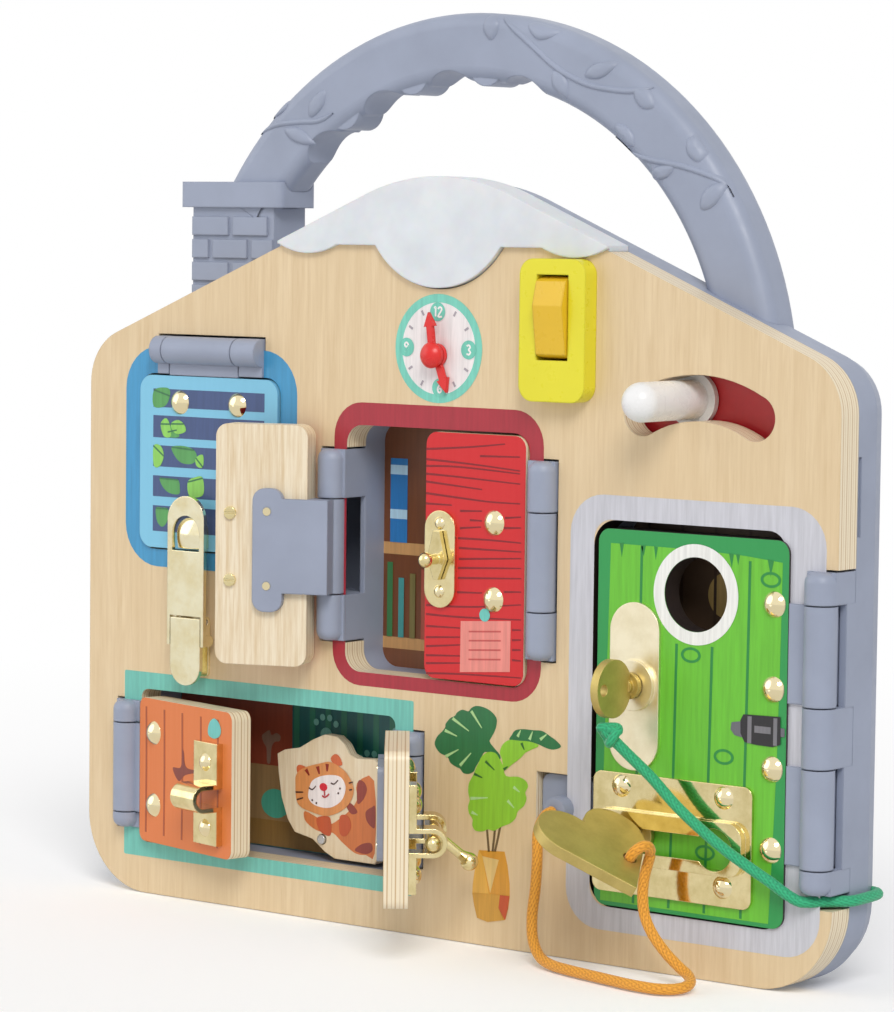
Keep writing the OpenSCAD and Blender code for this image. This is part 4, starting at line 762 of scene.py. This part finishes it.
draw("cat", 9.3, "cat_figure", "cat_wood",
     ("coat", (205, 116, 62), [blob([(-59.3, 32.4), (-53.9, 30.7), (-48.9, 29.3), (-45.6, 30.9), (-41.5, 33.9),
                                     (-37.9, 38.1), (-37.9, 43.6), (-31, 45), (-30.4, 21.9), (-34, 20.9), (-38.5, 21),
                                     (-43.9, 24), (-47.6, 26.5), (-52.1, 26.3), (-55.9, 27.2), (-59.3, 29.5)], 3)]),
     ("patches", (142, 60, 48), [
         blob([(-37.5, 44.1), (-35.1, 44.2), (-33.8, 41.8), (-35.4, 38.4), (-37.7, 37.2)], 4),
         blob([(-42, 36.8), (-39.9, 36.7), (-37.6, 34.3), (-39.9, 33.4), (-41.9, 35.2)], 4),
         blob([(-34.2, 34.7), (-31.7, 36.5), (-30.4, 36.6), (-30.4, 30.4), (-31.7, 30.1), (-33.7, 31.8)], 4),
         blob([(-38.5, 21.9), (-35.7, 24.2), (-32, 24.9), (-31.4, 22.6), (-34, 21.2)], 4)]),
     ("paws", (192, 84, 44), [
         blob([(-54.3, 30.6), (-50.1, 31.7), (-48.5, 30.6), (-48.4, 25.9), (-50.9, 25.6), (-53.4, 27.2)], 4),
         blob([(-44.8, 32), (-42.3, 32.9), (-40.7, 31.7), (-40.2, 28.9), (-42.2, 26.1), (-44.7, 26.8)], 4)]),
     ("ears", (206, 102, 60), [blob([(-62.8, 45.4), (-62.2, 47), (-59.9, 47), (-58.6, 45.8), (-61.1, 42.7)], 3),
                               blob([(-48.7, 50.4), (-47.1, 52), (-45.2, 51.5), (-43.9, 48.8), (-47, 48.6)], 3)]),
     ("face", (216, 142, 82), [blob([(-62.7, 35.6), (-63.2, 40.4), (-62.8, 44), (-59.4, 46.5), (-53.2, 48.4),
                                     (-48.7, 49.3), (-43.7, 47.5), (-40.8, 44.9), (-39.1, 41.2), (-40.7, 36.9),
                                     (-44.8, 33.6), (-50.5, 31.7), (-56.4, 32.4), (-60.6, 33.5)], 4)]),
     ("muzzle", (238, 228, 226), [blob([(-57.7, 38.7), (-56.5, 42.1), (-53.6, 44), (-49.1, 45.1), (-44.5, 44.9),
                                        (-42.4, 41.9), (-43.6, 37.9), (-46.9, 35.3), (-50.6, 34.3), (-55.1, 34.8),
                                        (-57.5, 36.5)], 4)]),
     ("stripes", (140, 38, 26), strokes([[(-58.8, 46), (-57.4, 44.2)], [(-54, 47.4), (-53.2, 45)],
                                         [(-50, 48.6), (-50, 46.2)]], 1.4, 0.5, 2)),
     ("lines", (70, 40, 32), strokes([
         [(-57.5, 40.2), (-56, 39.7), (-54.6, 41)], [(-48.4, 42.6), (-47, 42.4), (-45.4, 43.8)],
         [(-63, 38.2), (-59.8, 38.5)], [(-62.4, 35.8), (-59.8, 36.7)], [(-41, 43.3), (-39.4, 43.8)],
         [(-40.8, 41.1), (-39.6, 41.4)]], 0.5, 0.35, 3)
      + [disc(x, z, 0.35, 12) for x, z in ((-56, 36.3), (-54.3, 35.5), (-44.6, 41.2), (-45.3, 39.6))]),
     ("nose", (214, 34, 54), [disc(-51.4, 41, 1.6, 24, 0.8)]),
     ("mouth", (188, 52, 60), strokes([[(-51.9, 38.2), (-50.6, 37.8), (-49, 39)], [(-51, 40), (-50.8, 38.3)]], 0.5,
                                      k=3)))

draw("den_card", 19.2, "board", "card",
     ("back", (22, 92, 92), [quad(-121, 17.5, -16, 67)]),
     ("stripes", (40, 116, 92), [quad(-118.5 + 6.6 * k, 19, -116.2 + 6.6 * k, 66.5) for k in range(15)]),
     ("wall", (138, 62, 42), [quad(-121, 26, -73, 66.5)]),
     ("wall_low", (152, 122, 82), [quad(-121, 26, -73, 44)]),
     ("floor", (140, 106, 54), [quad(-121, 17.5, -16, 26)]),
     ("bone", (136, 106, 92), [blob([(-84.7, 54.4), (-82.6, 55.5), (-81.7, 54), (-79.6, 54.8), (-77.9, 54),
                                     (-78.3, 52.3), (-80.4, 51.8), (-81.7, 49.7), (-82.1, 45), (-83.5, 44.9),
                                     (-83.8, 49.5), (-85.1, 51.3), (-85.8, 53.3)], 4)]),
     ("oval", (76, 166, 142), [disc(-79.8, 31.6, 6, 36, 0.8)]),
     ("prints", (112, 176, 164), [disc(x, z, r, 18) for cx, cz in ((-58.5, 57), (-40, 47), (-26, 57))
                                  for x, z, r in ((cx, cz - 0.8, 2.4), (cx - 4.2, cz + 3, 1.1), (cx - 1.6, cz + 4.8, 1.1),
                                                  (cx + 1.4, cz + 4.8, 1.1), (cx + 4, cz + 3, 1.1))]))
SPINES = ((60, 120, 70), (70, 150, 150), (120, 110, 60), (170, 80, 60), (60, 90, 150))
draw("shelf_card", 19.2, "board", "card",
     ("back", (112, 64, 34), [quad(-36, 80.5, 36, 158)]),
     ("shelves", (200, 152, 98), [quad(-36, 116.6, 36, 120.4), quad(-36, 86.5, 36, 90.2)]),
     ("floor", (122, 72, 42), [quad(-36, 80.5, 36, 86.5)]),
     ("book", (44, 122, 190), [quad(-33.2, 120.4, -26.4, 147.1), quad(10, 120.4, 18, 143)]),
     ("bands", (182, 218, 240), [quad(-33.2, z, -26.4, z + 3) for z in (127.9, 142)]
      + [quad(10, z, 18, z + 2.6) for z in (126, 138)]),
     *(("spines%d" % k, col, [quad(x, 90.2, x + 2.2, 114 - (k * 3 + i) % 4 * 1.6)
                              for i, x in enumerate([-34.1 + 4.6 * k + 23 * j for j in range(3)])])
       for k, col in enumerate(SPINES)))
draw("garden_card", 19.2, "board", "card",
     ("grass", (72, 140, 70), [quad(-123, 114, -63, 132)]),
     ("hills", (60, 120, 96), [blob([(-122.5, 131), (-110, 142), (-98, 136), (-84, 147), (-70, 138), (-63.5, 131)])]),
     ("sun", (226, 196, 92), [disc(-76, 162, 5)]))
draw("porch_card", 19.2, "board", "card",
     ("floor", (66, 44, 36), [quad(61, 18, 129, 36)]),
     ("mat", (150, 44, 44), [quad(74, 22, 112, 31)]),
     ("lamp", (208, 176, 108), [disc(95, 112, 7)]),
     ("boards", (78, 60, 48), [quad(66 + 12 * k, 36, 67 + 12 * k, 133) for k in range(6)]))

# ---- the vine moulded on the handle ----

ARCH = (0, 171.5)
HANDLE_FRONT, HANDLE_FLAT, HANDLE_ROUND = 12.0, 110.5, 4.5
STEMS = [[(-84.3, 249.9), (-76.1, 252.4), (-66.5, 253.3), (-58.7, 253.6), (-52.5, 255.9)],
         [(13.8, 284.4), (23.4, 277.2), (33.2, 269.8), (40, 266.1), (46.7, 263.6), (53.7, 262.3), (62.1, 261.6),
          (69, 262.6)],
         [(54, 246.1), (60.1, 243.2), (69.6, 241.1), (79, 239.6), (87.1, 237.6), (94, 235.3), (100.9, 232.1)]]
SPRIGS = [
    [(9.7, 277.8), (6.9, 280.9), (7.3, 284.6), (9.9, 285.7), (12.3, 283.2), (11.9, 279.9)],
    [(23.3, 282.1), (26.7, 282.9), (30.8, 281.6), (34.9, 280.3), (32, 278), (27.1, 277.8)],
    [(33.3, 268), (36.7, 267.1), (38.9, 264), (38.3, 259.8), (34.9, 261.7), (33, 264.7)],
    [(45.2, 266.3), (47, 269), (51.7, 270.4), (56.5, 270.1), (53.6, 266.8), (49.6, 265.4)],
    [(63.2, 262.2), (67.2, 262.5), (69.7, 260.4), (70.5, 256.8), (66.9, 256.3), (64, 258.7)],
    [(56.8, 251.9), (60.9, 251), (63.4, 248), (63.1, 245), (59.5, 246.2), (57.2, 248.9)],
    [(69.1, 235.5), (70.5, 238.5), (74.4, 239.6), (78, 239.1), (75.9, 236.1), (72.3, 235.2)],
    [(86.5, 240.5), (82.9, 242.9), (82.5, 246.7), (85.3, 249.1), (88.5, 246.4), (88.9, 242.9)],
    [(87.8, 226.7), (88.1, 230.8), (91.6, 233.8), (96.1, 234.4), (94.5, 230), (91.4, 227)],
    [(-62, 254.9), (-62.4, 258.7), (-59.6, 261.8), (-55.9, 263), (-56.3, 258.9), (-59.1, 255.8)],
    [(-72.3, 251.1), (-67.3, 251.7), (-63.2, 249.5), (-60.6, 246.3), (-65.6, 246.3), (-70.2, 248.2)],
    [(-79.5, 255), (-78.7, 258.2), (-75.3, 260.1), (-71.6, 260), (-72.8, 257.2), (-76.1, 255.3)]]


# a stem's half round section: across in half widths, and up in mm
STEM_SECTION = ((-1.2, -0.2), (-1, 0.1), (-0.5, 0.55), (0, 0.7), (0.5, 0.55), (1, 0.1), (1.2, -0.2))


def on_handle(x, z, rise):
    """A point on the handle's front, kept on the band and lifted off its rounded edges."""
    r = math.hypot(x - ARCH[0], z - ARCH[1])
    keep = min(114.4, max(94.6, r)) / r
    x, z = ARCH[0] + (x - ARCH[0]) * keep, ARCH[1] + (z - ARCH[1]) * keep
    out = max(0.0, r * keep - HANDLE_FLAT, 98.5 - r * keep)
    return at(x, HANDLE_FRONT + HANDLE_ROUND - math.sqrt(max(0.0, HANDLE_ROUND ** 2 - out ** 2)) - rise, z)


def vine():
    verts, faces = [], []

    def skin(rows, closed):
        base, n = len(verts), len(rows[0])
        verts.extend(p for row in rows for p in row)
        for i in range(len(rows) - 1):
            for j in range(n if closed else n - 1):
                a, b = base + i * n + j, base + i * n + (j + 1) % n
                faces.append((a, b, b + n, a + n))

    for leaf in SPRIGS:
        edge = blob(leaf, 5)
        cx, cz = (sum(p[i] for p in edge) / len(edge) for i in (0, 1))
        skin([[on_handle(cx + (x - cx) * s, cz + (z - cz) * s, h) for x, z in edge]
              for s, h in ((1.06, -0.2), (1.0, 0.1), (0.9, 0.5), (0.72, 0.8), (0.45, 0.95), (0.02, 1.0))], True)
    for stem in STEMS:
        line = smooth([Vector((p[0], p[1], 0)) for p in stem], 6)
        rows = []
        for i, p in enumerate(line):
            t = (line[min(i + 1, len(line) - 1)] - line[max(i - 1, 0)]).normalized()
            w = 0.85 * min(1.0, 0.25 + 0.2 * min(i, len(line) - 1 - i))
            rows.append([on_handle(p.x - t.y * w * u, p.y + t.x * w * u, h) for u, h in STEM_SECTION])
        skin(rows, False)
    mesh = bpy.data.meshes.new("handle_vine")
    mesh.from_pydata(verts, [], faces)
    bm = bmesh.new()
    bm.from_mesh(mesh)
    bmesh.ops.recalc_face_normals(bm, faces=bm.faces)
    if sum(f.normal.y for f in bm.faces) > 0:
        bmesh.ops.reverse_faces(bm, faces=bm.faces)
    bm.to_mesh(mesh)
    bm.free()
    mesh.shade_smooth()
    return link("handle_vine", mesh, GREY, "board")


vine()

# ---- floor and light ----


def make_floor():
    mesh = bpy.data.meshes.new("floor")
    e = 12.0
    mesh.from_pydata([(-e, -e, -0.0002), (e, -e, -0.0002), (e, e, -0.0002), (-e, e, -0.0002)], [], [(0, 1, 2, 3)])
    m = Mat("floor_white")
    m.set(Base_Color=rgb(247, 247, 248), Roughness=0.9, Specular_IOR_Level=0.1)
    path = m.node("LightPath")
    glow = m.node("Emission", Color=(1, 1, 1, 1), Strength=m.math("MULTIPLY", path, 0.13))
    both = m.t.nodes.new("ShaderNodeAddShader")
    m.t.links.new(m.b.outputs[0], both.inputs[0])
    m.t.links.new(glow, both.inputs[1])
    # seen from the camera, the floor turns to the background's white away from the object
    away = m.span(m.node("VectorMath", {"operation": "LENGTH"}, out=1, i0=m.node("TexCoord", out=3)), 0.22, 0.75)
    fade = m.t.nodes.new("ShaderNodeMixShader")
    m.t.links.new(m.math("MULTIPLY", away, path), fade.inputs[0])
    m.t.links.new(both.outputs[0], fade.inputs[1])
    m.t.links.new(m.node("Emission", Color=(1, 1, 1, 1), Strength=1.0), fade.inputs[2])
    m.t.links.new(fade.outputs[0], m.t.nodes["Material Output"].inputs[0])
    obj = link("floor", mesh, m.m, None)


def make_world():
    world = bpy.data.worlds.new("studio")
    bpy.context.scene.world = world
    world.use_nodes = True
    t = world.node_tree
    back = t.nodes["Background"]
    back.inputs[0].default_value = (1, 1, 1, 1)
    path = t.nodes.new("ShaderNodeLightPath")
    seen = t.nodes.new("ShaderNodeMath")
    seen.operation = "MAXIMUM"
    t.links.new(path.outputs["Is Camera Ray"], seen.inputs[0])
    more = t.nodes.new("ShaderNodeMath")
    more.operation = "MAXIMUM"
    t.links.new(path.outputs["Is Glossy Ray"], more.inputs[0])
    t.links.new(path.outputs["Is Transmission Ray"], more.inputs[1])
    t.links.new(more.outputs[0], seen.inputs[1])
    level = t.nodes.new("ShaderNodeMapRange")
    t.links.new(seen.outputs[0], level.inputs[0])
    level.inputs["To Min"].default_value = 0.46
    level.inputs["To Max"].default_value = 1.0
    t.links.new(level.outputs[0], back.inputs[1])


def sun(name, towards, strength, angle, warm=(1, 1, 1)):
    data = bpy.data.lights.new(name, "SUN")
    data.energy = strength
    data.angle = math.radians(angle)
    data.color = warm
    obj = bpy.data.objects.new(name, data)
    bpy.context.scene.collection.objects.link(obj)
    obj.rotation_mode = "QUATERNION"
    obj.rotation_quaternion = Vector(towards).to_track_quat("-Z", "Y")


make_floor()
make_world()
sun("key", (-0.55, 0.62, -0.70), 1.7, 26, (1.0, 0.985, 0.96))
sun("fill", (0.75, 0.55, -0.35), 0.55, 50, (0.97, 0.985, 1.0))
view = bpy.context.scene.view_settings
view.view_transform = "Standard"
